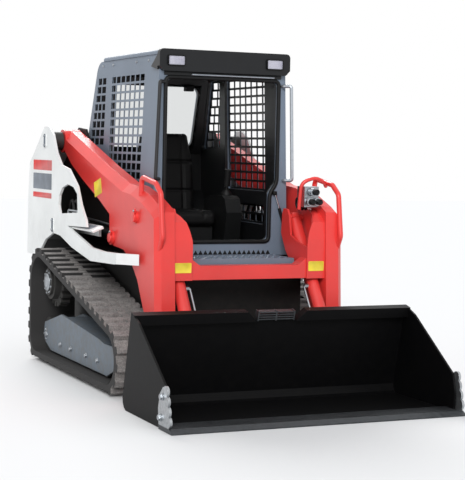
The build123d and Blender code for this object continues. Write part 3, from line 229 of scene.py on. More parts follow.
# Clean white that greys towards the tracks.
enamel("white_enamel", "#E4E6E5", 0.34, 0.28, "#A39C92")
# Cool satin grey, for the step and the hood.
enamel("blue_grey_enamel", "#6D7988", 0.42, 0.12)
# The same grey outside the cab; within, near black: partly dark trim, partly painted shade.
enamel("cab_grey_enamel", "#6D7988", 0.42, 0.10, inside=("#101113", 0.452))
# Grey mesh whose inner face is painted near black as shade, so the far screen reads as black.
enamel("screen_grey_enamel", "#6D7988", 0.42, 0.10, edge=1.0, inside=("#0C0D0E", 0.4676))
# Deep black with hardly a highlight, for the bucket.
enamel("black_enamel", "#050506", 0.5, 0.05, "#33302D", shine=0.12)
# Grey dulled by splashed earth.
enamel("frame_grey_enamel", "#646E78", 0.55, 0.55, "#7D756B")
# The brownish black of a dusty belly; on the tower webs the same black stands for painted shade between arm and tower.
enamel("belly_black_and_shade_enamel", "#0E0D0D", 0.6, 0.22, "#4A423B", shine=0.3)
print("enamels:", list(finishes))

# %% [markdown]
# Rubber, castings and bright metal. The tracks are moulded rubber, greyed with dried earth on the tread only: the
# flanks, and faces that look into the loop, keep their clean black. Castings are dark and grainy. Rods are hard
# chrome, cutters are plain steel scuffed by gravel.

# %% Rubber and metals
TRACK_FLANK, LOOP_MIDDLE = 0.8318, (0, 0.40, 0.38)
# Grey, crumbly earth on the lugs against black flanks.
tree, place, skin = material("dusty_track_rubber")
earth = put(tree, "ShaderNodeTexNoise", Vector=place, Scale=1 / (60 * MM), Detail=7.0, Roughness=0.7)
crumbs = put(tree, "ShaderNodeTexNoise", Vector=place, Scale=1 / (9 * MM), Detail=4.0)
both = put(tree, "ShaderNodeMath", {"operation": "MULTIPLY"}, in0=earth.outputs["Fac"], in1=crumbs.outputs["Fac"])
film = put(tree, "ShaderNodeMapRange", Value=both.outputs[0], From_Min=0.14, From_Max=0.36, To_Min=0.0, To_Max=1.0)
tread = put(tree, "ShaderNodeMix", BLEND, in0=film.outputs[0], in6=colour("#646160"), in7=colour("#918D8A"))
part = put(tree, "ShaderNodeSeparateXYZ", Vector=place)
wide = put(tree, "ShaderNodeMath", {"operation": "ABSOLUTE"}, in0=part.outputs["X"])
flank = put(tree, "ShaderNodeMath", {"operation": "GREATER_THAN"}, in0=wide.outputs[0], in1=TRACK_FLANK)
look = put(tree, "ShaderNodeTexCoord").outputs["Normal"]
reach = put(tree, "ShaderNodeVectorMath", {"operation": "SUBTRACT"}, in0=place, in1=LOOP_MIDDLE)
outward = put(tree, "ShaderNodeVectorMath", {"operation": "DOT_PRODUCT"}, in0=reach.outputs[0], in1=look)
inward = put(tree, "ShaderNodeMath", {"operation": "LESS_THAN"}, in0=outward.outputs["Value"], in1=0.0)
black = put(tree, "ShaderNodeMath", {"operation": "MAXIMUM"}, in0=flank.outputs[0], in1=inward.outputs[0])
clean = put(tree, "ShaderNodeMix", BLEND, in0=black.outputs[0], in6=tread.outputs[2], in7=colour("#252424"))
tree.links.new(clean.outputs[2], skin.inputs["Base Color"])
skin.inputs["Roughness"].default_value = 0.82
skin.inputs["IOR"].default_value = 1.52
soft = put(tree, "ShaderNodeBevel", {"samples": 3}, Radius=4 * MM)
grit = put(tree, "ShaderNodeBump", Strength=0.3, Distance=1.0 * MM,
           Height=crumbs.outputs["Fac"], Normal=soft.outputs[0])
tree.links.new(grit.outputs[0], skin.inputs["Normal"])


def metal(name, tone, worn_tone, rough, grain_mm, depth, metallic=1.0):
    """Bare metal with a grain of a given size that shifts tone and roughness."""
    tree, place, skin = material(name)
    grain = put(tree, "ShaderNodeTexNoise", Vector=place, Scale=1 / (grain_mm * MM), Detail=5.0, Roughness=0.6)
    worn = put(tree, "ShaderNodeMix", BLEND, in0=grain.outputs["Fac"], in6=colour(tone), in7=colour(worn_tone))
    tree.links.new(worn.outputs[2], skin.inputs["Base Color"])
    polish = put(tree, "ShaderNodeMapRange", Value=grain.outputs["Fac"],
                 From_Min=0.3, From_Max=0.7, To_Min=rough * 0.8, To_Max=rough * 1.3)
    tree.links.new(polish.outputs[0], skin.inputs["Roughness"])
    skin.inputs["Metallic"].default_value = metallic
    soft = put(tree, "ShaderNodeBevel", {"samples": 3}, Radius=1.5 * MM)
    bump = put(tree, "ShaderNodeBump", Strength=depth, Distance=0.5 * MM,
               Height=grain.outputs["Fac"], Normal=soft.outputs[0])
    tree.links.new(bump.outputs[0], skin.inputs["Normal"])


# Dark and grainy, as cast iron leaves the sand.
metal("dark_casting", "#2A2C2E", "#45423E", 0.6, 5, 0.5, metallic=0.4)
# A bright mirror, for the rods.
metal("hard_chrome", "#D3D6D9", "#BFC3C7", 0.12, 40, 0.0)
# A pale, slightly cloudy shine, for bolts and pipes.
metal("zinc_steel", "#B4B8BC", "#93989D", 0.34, 14, 0.1)
# Bright steel blotched where gravel has scoured it.
metal("gravel_worn_steel", "#C9CCCF", "#84888B", 0.38, 22, 0.3)
# Dark steel with brighter scuffs along the lip.
metal("scuffed_edge_steel", "#2C2E31", "#5A5D60", 0.42, 30, 0.25, metallic=0.8)
# A soft silver line over the doorway.
metal("satin_rail_steel", "#A9AFB7", "#8E959E", 0.36, 30, 0.05, metallic=0.7)
print("rubber and metals ready, finishes so far:", len(finishes))

# %% [markdown]
# Plastics, glass and the seat's cover. The consoles and the visor are grained black plastic, the rear pane is clear
# glass, the lamp lenses are pressed glass over a bright reflector with painted highlights on their ribs, and the seat
# is black vinyl with a leather grain, darkened further as painted shade.

# %% Plastics, glass and vinyl
def plastic(name, tone, rough, grain_mm, depth, shine=0.5):
    """Moulded plastic with a leathery grain of a given size."""
    tree, place, skin = material(name)
    cells = put(tree, "ShaderNodeTexVoronoi", Vector=place, Scale=1 / (grain_mm * MM))
    tint = put(tree, "ShaderNodeTexNoise", Vector=place, Scale=1 / (90 * MM), Detail=2.0)
    shade = put(tree, "ShaderNodeMapRange", Value=tint.outputs["Fac"],
                From_Min=0.3, From_Max=0.7, To_Min=0.85, To_Max=1.15)
    base = put(tree, "ShaderNodeVectorMath", {"operation": "SCALE"}, in0=colour(tone)[:3], Scale=shade.outputs[0])
    tree.links.new(base.outputs[0], skin.inputs["Base Color"])
    skin.inputs["Roughness"].default_value = rough
    skin.inputs["IOR"].default_value = 1.5
    skin.inputs["Specular IOR Level"].default_value = shine
    soft = put(tree, "ShaderNodeBevel", {"samples": 3}, Radius=2 * MM)
    bump = put(tree, "ShaderNodeBump", Strength=depth, Distance=0.3 * MM,
               Height=cells.outputs["Distance"], Normal=soft.outputs[0])
    tree.links.new(bump.outputs[0], skin.inputs["Normal"])


def ribbed(name, direction, pitch_mm, shaded_rib, lit_rib, rough, ior):
    """A lens whose tone runs in fine ribs, painted lighter and darker as highlight and shade; gives back its tree,
    shader and ribs.
    """
    tree, place, skin = material(name)
    ribs = put(tree, "ShaderNodeTexWave", {"bands_direction": direction}, Vector=place, Scale=1 / (pitch_mm * MM))
    tone = put(tree, "ShaderNodeMix", BLEND, in0=ribs.outputs["Fac"], in6=colour(shaded_rib), in7=colour(lit_rib))
    tree.links.new(tone.outputs[2], skin.inputs["Base Color"])
    skin.inputs["Roughness"].default_value = rough
    skin.inputs["IOR"].default_value = ior
    return tree, skin, ribs


# A dull, leathery black.
plastic("grained_black_plastic", "#0B0C0D", 0.55, 3, 0.3, shine=0.25)
# A smoother black that takes a soft sky reflection.
plastic("visor_black_plastic", "#0E1013", 0.36, 4, 0.12, shine=0.35)
# Soft black with a coarse leather grain, darkened beyond the vinyl's own black as painted shade in the cab.
plastic("shade_darkened_seat_vinyl", "#09090A", 0.55, 4, 0.45, shine=0.2)
# A flat, clear yellow, almost without grain.
plastic("yellow_plate_film", "#E9D23C", 0.4, 6, 0.05)
# Smooth red film, a little deeper than the arms.
plastic("red_stripe_film", "#CE2F2C", 0.35, 6, 0.03)
# Rough grey grit without any shine.
plastic("grit_tread_grey", "#7C828A", 0.8, 5, 0.8)
# Matte dark rubber.
plastic("ribbed_floor_rubber", "#1B1B1C", 0.7, 5, 0.4)

# A thin pane that only greys what lies behind it.
tree, place, skin = material("clear_pane")
skin.inputs["Base Color"].default_value = colour("#DFE1E1")
skin.inputs["Roughness"].default_value = 0.02
skin.inputs["Transmission Weight"].default_value = 1.0
skin.inputs["IOR"].default_value = 1.05

# Pale, faintly violet ribs under a hard gloss; the raised ribs are painted lighter as highlights.
tree, skin, ribs = ribbed("pressed_lamp_glass", "X", 24, "#8F8FA0", "#C4C3CE", 0.16, 1.5)
skin.inputs["Coat Weight"].default_value = 1.0
press = put(tree, "ShaderNodeBump", Strength=0.4, Distance=1 * MM, Height=ribs.outputs["Fac"])
tree.links.new(press.outputs[0], skin.inputs["Normal"])

# Deep red with lighter ribs: painted highlights where the lens flutes would catch the light.
ribbed("red_lamp_acrylic", "Z", 20, "#8E0B0B", "#C41616", 0.15, 1.49)
print("finishes so far:", len(finishes))

# %% [markdown]
# The two grab rails differ: the one on the machine's left is bare satin tube, the one on its right is dipped in
# black plastic. Both are one frame part, so the finish itself changes over at the middle of the machine.

# %% Rails
# A bright brushed line on one side of the door, a black one on the other.
tree, place, skin = material("rail_steel_and_black")
part = put(tree, "ShaderNodeSeparateXYZ", Vector=place)
bare = put(tree, "ShaderNodeMath", {"operation": "GREATER_THAN"}, in0=part.outputs["X"], in1=0.0)
brush = put(tree, "ShaderNodeTexNoise", Vector=place, Scale=1 / (30 * MM), Detail=4.0)
steel = put(tree, "ShaderNodeMix", BLEND, in0=brush.outputs["Fac"], in6=colour("#C4C9CF"), in7=colour("#9AA1A9"))
tone = put(tree, "ShaderNodeMix", BLEND, in0=bare.outputs[0], in6=colour("#131416"), in7=steel.outputs[2])
tree.links.new(tone.outputs[2], skin.inputs["Base Color"])
shine = put(tree, "ShaderNodeMapRange", Value=bare.outputs[0], To_Min=0.5, To_Max=0.3)
tree.links.new(shine.outputs[0], skin.inputs["Roughness"])
half_metal = put(tree, "ShaderNodeMath", {"operation": "MULTIPLY"}, in0=bare.outputs[0], in1=0.75)
tree.links.new(half_metal.outputs[0], skin.inputs["Metallic"])
print("finishes in all:", len(finishes))

# %% [markdown]
# Each solid of the frame now gets its finish. Left and right pieces share one.

# %% Dress the frame
wear = {
    "dusty_track_rubber": ["track_left", "track_right"],
    "frame_grey_enamel": ["track_frames"],
    "dark_casting": ["rollers", "idlers", "sprockets", "engine_block", "tower_pins"],
    # The tower webs take this black as painted shade in the gap between arm and tower.
    "belly_black_and_shade_enamel": ["main_frame", "tower_webs", "track_shelves"],
    "white_enamel": ["tower_skins", "tower_backs"],
    "blue_grey_enamel": ["engine_hood", "front_step"],
    "screen_grey_enamel": ["side_screens"],
    "cab_grey_enamel": ["cab_sides", "cab_front", "cab_rear", "cab_roof"],
    "black_enamel": ["rear_door", "rear_bumper", "bucket_shell", "coupler", "lift_barrels"],
    "red_lamp_acrylic": ["tail_lamps"],
    "visor_black_plastic": ["cab_visor"],
    "pressed_lamp_glass": ["work_lamps"],
    "clear_pane": ["rear_window"],
    "ribbed_floor_rubber": ["cab_floor"],
    "grained_black_plastic": ["seat_base", "consoles", "joysticks"],
    "shade_darkened_seat_vinyl": ["seat_cushion", "seat_backrest"],
    "rail_steel_and_black": ["grab_rails"],
    "coral_red_enamel": ["arm_left", "arm_right", "cross_member", "tilt_barrels"],
    "zinc_steel": ["aux_couplers"],
    "hard_chrome": ["lift_rods", "tilt_rods"],
    "scuffed_edge_steel": ["cutting_edge", "bucket_step"],
    "gravel_worn_steel": ["side_cutters"],
}
for finish, names in wear.items():
    for name in names:
        nodes[name].data.materials.clear()
        nodes[name].data.materials.append(finishes[finish])
dressed = {name for names in wear.values() for name in names}
print("undressed:", [name for name in nodes if name not in dressed])

# %% [markdown]
# Small pieces are modelled by hand-like steps: a primitive, a few edits in edit mode, then a clean-up. These helpers
# start a piece, select its faces by their place or direction, close it off, and copy a model to many places.

# %% Workshop helpers
def object_mode():
    """Leave edit mode, if a piece is in it, and deselect everything."""
    if bpy.context.object and bpy.context.object.mode != "OBJECT":
        bpy.ops.object.mode_set(mode="OBJECT")
    bpy.ops.object.select_all(action="DESELECT")


def begin(maker, name, **sizes):
    """Add a primitive and enter edit mode with nothing selected."""
    object_mode()
    scale = sizes.pop("scale", None)
    maker(**sizes)
    piece = bpy.context.object
    piece.name = name
    if scale:
        piece.scale = scale
    bpy.ops.object.transform_apply(location=True, rotation=True, scale=True)
    bpy.ops.object.mode_set(mode="EDIT")
    bpy.ops.mesh.select_all(action="DESELECT")
    return piece


def choose(piece, test, kind="faces"):
    """In edit mode, select the faces, edges or points whose middle (and normal or direction) pass the test."""
    mesh = bmesh.from_edit_mesh(piece.data)
    bpy.ops.mesh.select_all(action="DESELECT")
    bpy.ops.mesh.select_mode(type={"faces": "FACE", "edges": "EDGE", "verts": "VERT"}[kind])
    for item in getattr(mesh, kind):
        if kind == "faces":
            item.select_set(bool(test(item.calc_center_median(), item.normal)))
        elif kind == "edges":
            a, b = item.verts
            item.select_set(bool(test((a.co + b.co) / 2, (b.co - a.co).normalized())))
        else:
            item.select_set(bool(test(item.co, None)))
    bmesh.update_edit_mesh(piece.data)


def close(piece, finish, body, angle=35):
    """Put a piece's place in its mesh, smooth it by angle, and give it finish and body."""
    object_mode()
    piece.select_set(True)
    bpy.context.view_layer.objects.active = piece
    bpy.ops.object.transform_apply(location=True, rotation=True, scale=True)
    bpy.ops.object.shade_smooth_by_angle(angle=radians(angle))
    piece.data.materials.clear()
    piece.data.materials.append(finishes[finish])
    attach(piece, body)
    print(piece.name, len(piece.data.polygons), "faces on", body)
    return piece


def repeat(model, name, places, finish, body, angle=35, keep=False):
    """Copy a model to each place, each copy with its own mesh, and close the joined copies as one piece."""
    object_mode()
    for place in places:
        twin = model.copy()
        twin.data = model.data.copy()
        twin.data.transform(place)
        if place.determinant() < 0:
            twin.data.flip_normals()
        bpy.context.collection.objects.link(twin)
        twin.select_set(True)
        bpy.context.view_layer.objects.active = twin
    if len(places) > 1:
        bpy.ops.object.join()
    piece = bpy.context.object
    piece.name = name
    if not keep:
        bpy.data.objects.remove(model)
    return close(piece, finish, body, angle)


def facing(point, normal, spin=0.0):
    """A place at a point, with the model's +Z turned to the normal."""
    turn = Vector(normal).to_track_quat("Z", "Y").to_matrix().to_4x4()
    return Matrix.Translation(Vector(point)) @ turn @ Matrix.Rotation(spin, 4, "Z")


SIDES = (-1, 1)
print("helpers ready")

# %% [markdown]
# Hex bolts with washers hold the track frames, cutters, hubs and panels. One bolt is modelled: a round washer, a hex
# head drawn up from it and its top edge chamfered. It is then copied to every place, scaled to the thread's size.

# %% A bolt
bolt = begin(bpy.ops.mesh.primitive_cylinder_add, "bolt_model",
             vertices=18, radius=1.0, depth=0.22, location=(0, 0, 0.11))
choose(bolt, lambda c, n: n.z > 0.9)
bpy.ops.mesh.inset(thickness=0.08, depth=0.05)
bpy.ops.mesh.select_all(action="DESELECT")
bpy.ops.mesh.primitive_cylinder_add(vertices=6, radius=0.78, depth=0.6, location=(0, 0, 0.5))
choose(bolt, lambda c, d: c.z > 0.79 and abs(d.z) < 0.1, "edges")
bpy.ops.mesh.bevel(offset=0.1, segments=1)


def bolt_places(points, normal, size):
    """Places for bolts of one size on faces that look one way."""
    scale = Matrix.Scale(size, 4)
    return [facing(point, normal, 0.4) @ scale for point in points]


def cab_half(z):
    """Half width of the cab's outside at a height."""
    return CAB_HALF - CAB_LEAN * (z - CAB_SILL)


FRAME_FACE, HUB_FACE, SKIN_FACE, LOCK_FACE = 0.756, 0.765, 0.748, 0.750
BUMPER_FACE, BUCKET_SIDE, EAVE_BOLTS = 1.690, 0.9002, 2.028
RIM_BACK, RIM_NORMAL = (-1.0185, 0.524), (0, -0.972, -0.236)
SPROCKET, IDLER_FRONT, IDLER_REAR = (0.990, 0.545), (-0.435, 0.215), (1.045, 0.180)
LIFT_PIVOT, LIFT_BASE, LIFT_PIN = (1.165, 1.515), (0.960, 0.940), (0.080, 0.907)
TILT_TOP, TILT_PIN = (-0.350, 1.060), (-0.850, 0.349)
BOLT_RINGS = (
    (SPROCKET, 9, 0.076, HUB_FACE),
    (IDLER_FRONT, 4, 0.034, FRAME_FACE),
    (IDLER_REAR, 4, 0.034, FRAME_FACE),
)
spots = []
for side in SIDES:
    out = (side, 0, 0)
    rail = ((0.70, 0.150), (0.476, 0.150), (0.156, 0.152), (-0.072, 0.152))
    spots += bolt_places([(side * FRAME_FACE, y, z) for y, z in rail], out, 0.017)
    for (y, z), count, ring, face in BOLT_RINGS:
        turns = [2 * pi * i / count for i in range(count)]
        spots += bolt_places([(side * face, y + ring * cos(t), z + ring * sin(t)) for t in turns], out, 0.009)
    for y, z in (LIFT_PIVOT, LIFT_BASE):
        spots += bolt_places([(side * LOCK_FACE, y, z + rise) for rise in (0.032, -0.032)], out, 0.011)
    eave = side * (cab_half(EAVE_BOLTS) - 0.0005)
    spots += bolt_places([(eave, y, EAVE_BOLTS) for y in (0.854, 0.651, 0.201, -0.02)], out, 0.010)
spots += bolt_places([(x, BUMPER_FACE, 0.495) for x in (-0.42, -0.26, 0.26, 0.42)], (0, 1, 0), 0.016)
repeat(bolt, "chassis_bolts", spots, "zinc_steel", "chassis", keep=True)

spots = []
for side in SIDES:
    cutter = [(side * BUCKET_SIDE, y, z) for y, z in ((-1.530, 0.066), (-1.552, 0.180))]
    spots += bolt_places(cutter, (side, 0, 0), 0.021)
    spots += bolt_places([(side * x, *RIM_BACK) for x in (0.265, 0.345)], RIM_NORMAL, 0.013)
repeat(bolt, "bucket_bolts", spots, "zinc_steel", "bucket", keep=True)

# %% [markdown]
# The seat is a moulded pad under black vinyl: a cushion with rolled edges, and a tall backrest whose shoulders narrow
# towards the top. Both start as a bevelled block. A short cloth run with a little pressure inside rounds them as
# stuffing does, then the sewn channels are pressed in along the lines where the real cover is stitched.

# %% Seat pads
PUFF_FRAMES, PUFF_PRESSURE, PUFF_LIMIT = 20, 4.0, 0.010
BACK_LEAN = atan2(0.090 - 0.010, 0.640)


def pad(name, size, middle, taper, channels=()):
    """A stuffed pad: block, bevel, taper at the top, remesh, pressure, channels sewn across or down its front."""
    piece = begin(bpy.ops.mesh.primitive_cube_add, name, size=1.0, scale=size)
    choose(piece, lambda c, d: True, "edges")
    bpy.ops.mesh.bevel(offset=min(size) * 0.3, segments=4)
    choose(piece, lambda c, n: True)
    bpy.ops.mesh.subdivide(number_cuts=2)
    bpy.ops.object.mode_set(mode="OBJECT")
    for v in piece.data.vertices:
        rise = max(0.0, v.co.z / size[2] - 0.1) / 0.4
        v.co.x *= 1 - taper * rise ** 2
    remesh = piece.modifiers.new("even_faces", "REMESH")
    remesh.mode = "VOXEL"
    remesh.voxel_size = 0.006
    bpy.ops.object.modifier_apply(modifier=remesh.name)
    start = [v.co.copy() for v in piece.data.vertices]
    cloth = piece.modifiers.new("stuffing", "CLOTH")
    cloth.settings.use_pressure = True
    cloth.settings.uniform_pressure_force = PUFF_PRESSURE
    cloth.settings.effector_weights.gravity = 0.0
    for frame_number in range(1, PUFF_FRAMES + 1):
        scene.frame_set(frame_number)
    bpy.ops.object.modifier_apply(modifier=cloth.name)
    scene.frame_set(1)
    for v, was in zip(piece.data.vertices, start):
        move = v.co - was
        if move.length > PUFF_LIMIT:
            v.co = was + move * (PUFF_LIMIT / move.length)
    for v in piece.data.vertices:
        for line, level in channels:
            across = v.co.z - line if level else abs(v.co.x) - line
            if v.co.y < 0:
                v.co.y += 0.009 * max(0.0, 1 - (across / 0.014) ** 2)
    piece.location = middle
    return piece


cushion = pad("seat_cushion_pad", (0.428, 0.340, 0.090), (0, 0.508, 1.013), 0.0)
for v in cushion.data.vertices:
    if v.co.z > 0:
        for line in (-0.12, 0.12):
            v.co.z -= 0.008 * max(0.0, 1 - ((v.co.x - line) / 0.013) ** 2)
close(cushion, "shade_darkened_seat_vinyl", "chassis", 60)
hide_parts("seat_cushion")

seams = [(0.118, False), (-0.10, True), (0.10, True)]
backrest = pad("seat_back_pad", (0.428, 0.080, 0.615), (0, 0.783, 1.285), 0.22, seams)
backrest.rotation_euler = (-BACK_LEAN, 0, 0)
close(backrest, "shade_darkened_seat_vinyl", "chassis", 60)
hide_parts("seat_backrest")

# %% [markdown]
# The two work lamps are pressed-glass units: a black bezel with a deep rim and a fluted lens behind it. The bezel is
# a block whose face is inset and pushed back. The lens is a grid whose columns stand forward by turns.

# %% Work lamps
LAMP_X, LAMP_Z, LAMP_BACK = 0.335, 2.022, -0.2452
FLUTES = 26


def bezel(name, size, middle, look, corner, segments, border, depth, step=0.002):
    """A block with rounded corners whose face, on the side of y that look gives, is sunk within a border."""
    piece = begin(bpy.ops.mesh.primitive_cube_add, name, size=1.0, location=middle, scale=size)
    choose(piece, lambda c, d: abs(d.y) > 0.9, "edges")
    bpy.ops.mesh.bevel(offset=corner, segments=segments)
    choose(piece, lambda c, n: n.y * look > 0.9)
    bpy.ops.mesh.inset(thickness=border)
    bpy.ops.mesh.inset(thickness=step, depth=-depth)
    return piece


def thicken(piece, thickness):
    """Give an open sheet a thickness below its face."""
    bpy.ops.object.mode_set(mode="OBJECT")
    sheet = piece.modifiers.new("sheet", "SOLIDIFY")
    sheet.thickness = thickness
    sheet.offset = -1
    bpy.ops.object.modifier_apply(modifier=sheet.name)


rim = bezel("lamp_bezel_model", (0.116, 0.0138, 0.066), (0, 0, 0), -1, 0.011, 4, 0.005, 0.009)
spots = [Matrix.Translation((side * LAMP_X, LAMP_BACK - 0.0069, LAMP_Z)) for side in SIDES]
bezels = repeat(rim, "lamp_bezels", spots, "grained_black_plastic", "chassis")
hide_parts("work_lamps")

glass = begin(bpy.ops.mesh.primitive_grid_add, "lamp_glass_model", x_subdivisions=FLUTES, y_subdivisions=6, size=1.0)
choose(glass, lambda c, d: round((c.x + 0.5) * FLUTES) % 2 == 0 and abs(c.y) < 0.45 and abs(c.x) < 0.48, "verts")
bpy.ops.transform.translate(value=(0, 0, 0.0022))
thicken(glass, 0.003)
stand = Matrix.Rotation(radians(90), 4, "X") @ Matrix.Diagonal((0.103, 0.053, 1, 1))
spots = [Matrix.Translation((side * LAMP_X, LAMP_BACK - 0.0075, LAMP_Z)) @ stand for side in SIDES]
repeat(glass, "lamp_glasses", spots, "pressed_lamp_glass", "chassis", 20)

# %% [markdown]
# Plain plates: three blank yellow ones on the arms, grey lock plates at the towers' pins and three plain bands on each
# tower. Each is a thin block with rounded corners and a slightly raised border, laid on its panel.

# %% Blank plates
KNEE_FACE, ARM_FACE, ARM_SLOPE = -0.6762, 0.6202, radians(14.5)
BAND_FACE, BAND_MIDDLE, BAND_LENGTH = 0.7402, 1.235, 0.44


def plate(name, width, height, thick=0.0016, corner=0.006, rim=0.004):
    """A blank plate lying on z = 0, its face up, with a raised border."""
    piece = begin(bpy.ops.mesh.primitive_cube_add, name,
                  size=1.0, location=(0, 0, thick / 2), scale=(width, height, thick))
    choose(piece, lambda c, d: abs(d.z) > 0.9, "edges")
    bpy.ops.mesh.bevel(offset=corner, segments=3)
    choose(piece, lambda c, n: n.z > 0.9)
    bpy.ops.mesh.inset(thickness=rim)
    bpy.ops.mesh.inset(thickness=0.0008, depth=-thick * 0.35)
    return piece


front_plate = plate("front_plate_model", 0.106, 0.060)
spots = [facing((side * 0.441, KNEE_FACE, 0.776), (0, -1, 0)) for side in SIDES]
repeat(front_plate, "arm_front_plates", spots, "yellow_plate_film", "lift_arms")
side_plate = plate("side_plate_model", 0.100, 0.140)
sloped = Matrix.Translation((-ARM_FACE, 0.378, 1.215)) @ Matrix.Rotation(-ARM_SLOPE, 4, "X")
spots = [sloped @ facing((0, 0, 0), (-1, 0, 0), radians(90))]
repeat(side_plate, "arm_side_plate", spots, "yellow_plate_film", "lift_arms")
lock = plate("lock_plate_model", 0.032, 0.094, thick=0.003, corner=0.008, rim=0.002)
spots = [facing((side * SKIN_FACE, y, z), (side, 0, 0)) for side in SIDES for y, z in (LIFT_PIVOT, LIFT_BASE)]
repeat(lock, "tower_lock_plates", spots, "frame_grey_enamel", "chassis")
for name, finish, slot, z, high in (
    ("tower_red_bands", "red_stripe_film", "red_paint", 1.345, 0.070),
    ("tower_grey_bands", "grit_tread_grey", "grey_paint", 1.232, 0.110),
    ("tower_low_bands", "red_stripe_film", "red_paint", 1.135, 0.036),
):
    band = plate(name + "_model", BAND_LENGTH, high, corner=0.004, rim=0.003)
    spots = [facing((side * BAND_FACE, BAND_MIDDLE, z), (side, 0, 0)) for side in SIDES]
    repeat(band, name, spots, finish, "chassis")

# %% [markdown]
# Hub covers. The drive sprocket and both idlers end in a turned steel cover: a disc with a stepped, domed face.
# One is made from a cylinder by insetting and lifting its face, then scaled for each wheel.

# %% Hub covers
cover = begin(bpy.ops.mesh.primitive_cylinder_add, "hub_cover_model",
              vertices=40, radius=1.0, depth=0.12, location=(0, 0, 0.06))
choose(cover, lambda c, n: n.z > 0.9)
for inward, lift in ((0.06, 0.05), (0.22, 0.0), (0.04, 0.06), (0.12, 0.05), (0.2, 0.02)):
    bpy.ops.mesh.inset(thickness=inward, depth=lift)
choose(cover, lambda c, d: c.z > 0.1 and c.xy.length > 0.9 and abs(d.z) < 0.1, "edges")
bpy.ops.mesh.bevel(offset=0.02, segments=2)
HUBS = ((SPROCKET, 0.062, HUB_FACE), (IDLER_FRONT, 0.026, FRAME_FACE), (IDLER_REAR, 0.026, FRAME_FACE))
spots = []
for side in SIDES:
    for (y, z), size, face in HUBS:
        spots.append(facing((side * face, y, z), (side, 0, 0)) @ Matrix.Scale(size, 4))
repeat(cover, "hub_covers", spots, "zinc_steel", "chassis")

# %% [markdown]
# Pin keepers. Each pin of the arms ends in a cap with a flat keeper bar that stops it from turning.
# The bar is a block with rounded ends, the cap a chamfered disc. A small bolt holds the bar's tip.

# %% Pin keepers
BOSS_FACE, KEEPER_TURN = 0.634, radians(55)
BAR_MIDDLE, BAR_TIP = (0.030, 0, 0.008), Vector((0.050, 0, 0.013))
keeper = begin(bpy.ops.mesh.primitive_cylinder_add, "keeper_model",
               vertices=28, radius=0.031, depth=0.012, location=(0, 0, 0.006))
choose(keeper, lambda c, d: c.z > 0.011 and abs(d.z) < 0.1, "edges")
bpy.ops.mesh.bevel(offset=0.003, segments=2)
bpy.ops.mesh.select_all(action="DESELECT")
bpy.ops.mesh.primitive_cube_add(size=1.0, location=BAR_MIDDLE)
bpy.ops.transform.resize(value=(0.062, 0.022, 0.010), center_override=BAR_MIDDLE)
choose(keeper, lambda c, d: c.x > 0.05 and abs(d.z) > 0.9, "edges")
bpy.ops.mesh.bevel(offset=0.009, segments=3)
spots, tips = [], []
for side in SIDES:
    for y, z in (LIFT_PIN, TILT_TOP):
        spot = facing((side * BOSS_FACE, y, z), (side, 0, 0), KEEPER_TURN)
        spots.append(spot)
        tips += bolt_places([spot @ BAR_TIP], (side, 0, 0), 0.008)
repeat(keeper, "pin_keepers", spots, "coral_red_enamel", "lift_arms")
repeat(bolt, "keeper_bolts", tips, "zinc_steel", "lift_arms")

# %% [markdown]
# The entry step is punched for grip: round buttons are pressed up through the plate, and a toothed strip stands
# along its edge against the cab. A button is a cylinder narrowed at the top. A tooth is a three-sided block.

# %% Step tread
STEP_TOP, STEP_REACH, BUTTON_PITCH, ROW_PITCH, TOOTH_PITCH = 0.816, 0.345, 0.044, 0.040, 0.0334
button = begin(bpy.ops.mesh.primitive_cylinder_add, "button_model",
               vertices=10, radius=0.011, depth=0.004, location=(0, 0, 0.002))
choose(button, lambda c, n: n.z > 0.9)
bpy.ops.mesh.inset(thickness=0.003, depth=0.0012)
bpy.ops.mesh.inset(thickness=0.003, depth=-0.003)
spots = []
for row in range(6):
    shift = BUTTON_PITCH / 2 if row % 2 else 0.0
    for i in range(15):
        x = -0.319 + shift + i * BUTTON_PITCH
        if abs(x) < STEP_REACH:
            spots.append(Matrix.Translation((x, -0.300 - row * ROW_PITCH, STEP_TOP)))
repeat(button, "step_buttons", spots, "blue_grey_enamel", "chassis")
tooth = begin(bpy.ops.mesh.primitive_cylinder_add, "tooth_model",
              vertices=3, radius=0.018, depth=0.003, location=(0, 0, 0.0015))
choose(tooth, lambda c, n: n.z > 0.9)
bpy.ops.mesh.inset(thickness=0.003, depth=0.001)
spots = [facing((-0.334 + i * TOOTH_PITCH, -0.2051, STEP_TOP + 0.0092), (0, -1, 0)) for i in range(21)]
repeat(tooth, "step_teeth", spots, "grained_black_plastic", "chassis")

# %% [markdown]
# Beside each tower a small foot ledge carries a gritty tread pad, so that the operator can climb down sideways.
# The ledge is a folded plate that slopes outwards, and the pad a thin block with diagonal ribs.

# %% Foot ledges
TREAD_ACROSS, TREAD_ALONG = 6, 26
MIRROR_X = Matrix.Scale(-1, 4, (1, 0, 0))


def strip_of(value, count):
    """Which of the equal strips of a unit grid a place lies in."""
    return round((value + 0.5) * count - 0.5)


def diagonal(c, n):
    """Every third face along the diagonals, short of the pad's edge."""
    inner = abs(c.x) < 0.4 and abs(c.y) < 0.48
    return inner and (strip_of(c.x, TREAD_ACROSS) + strip_of(c.y, TREAD_ALONG)) % 3 == 0


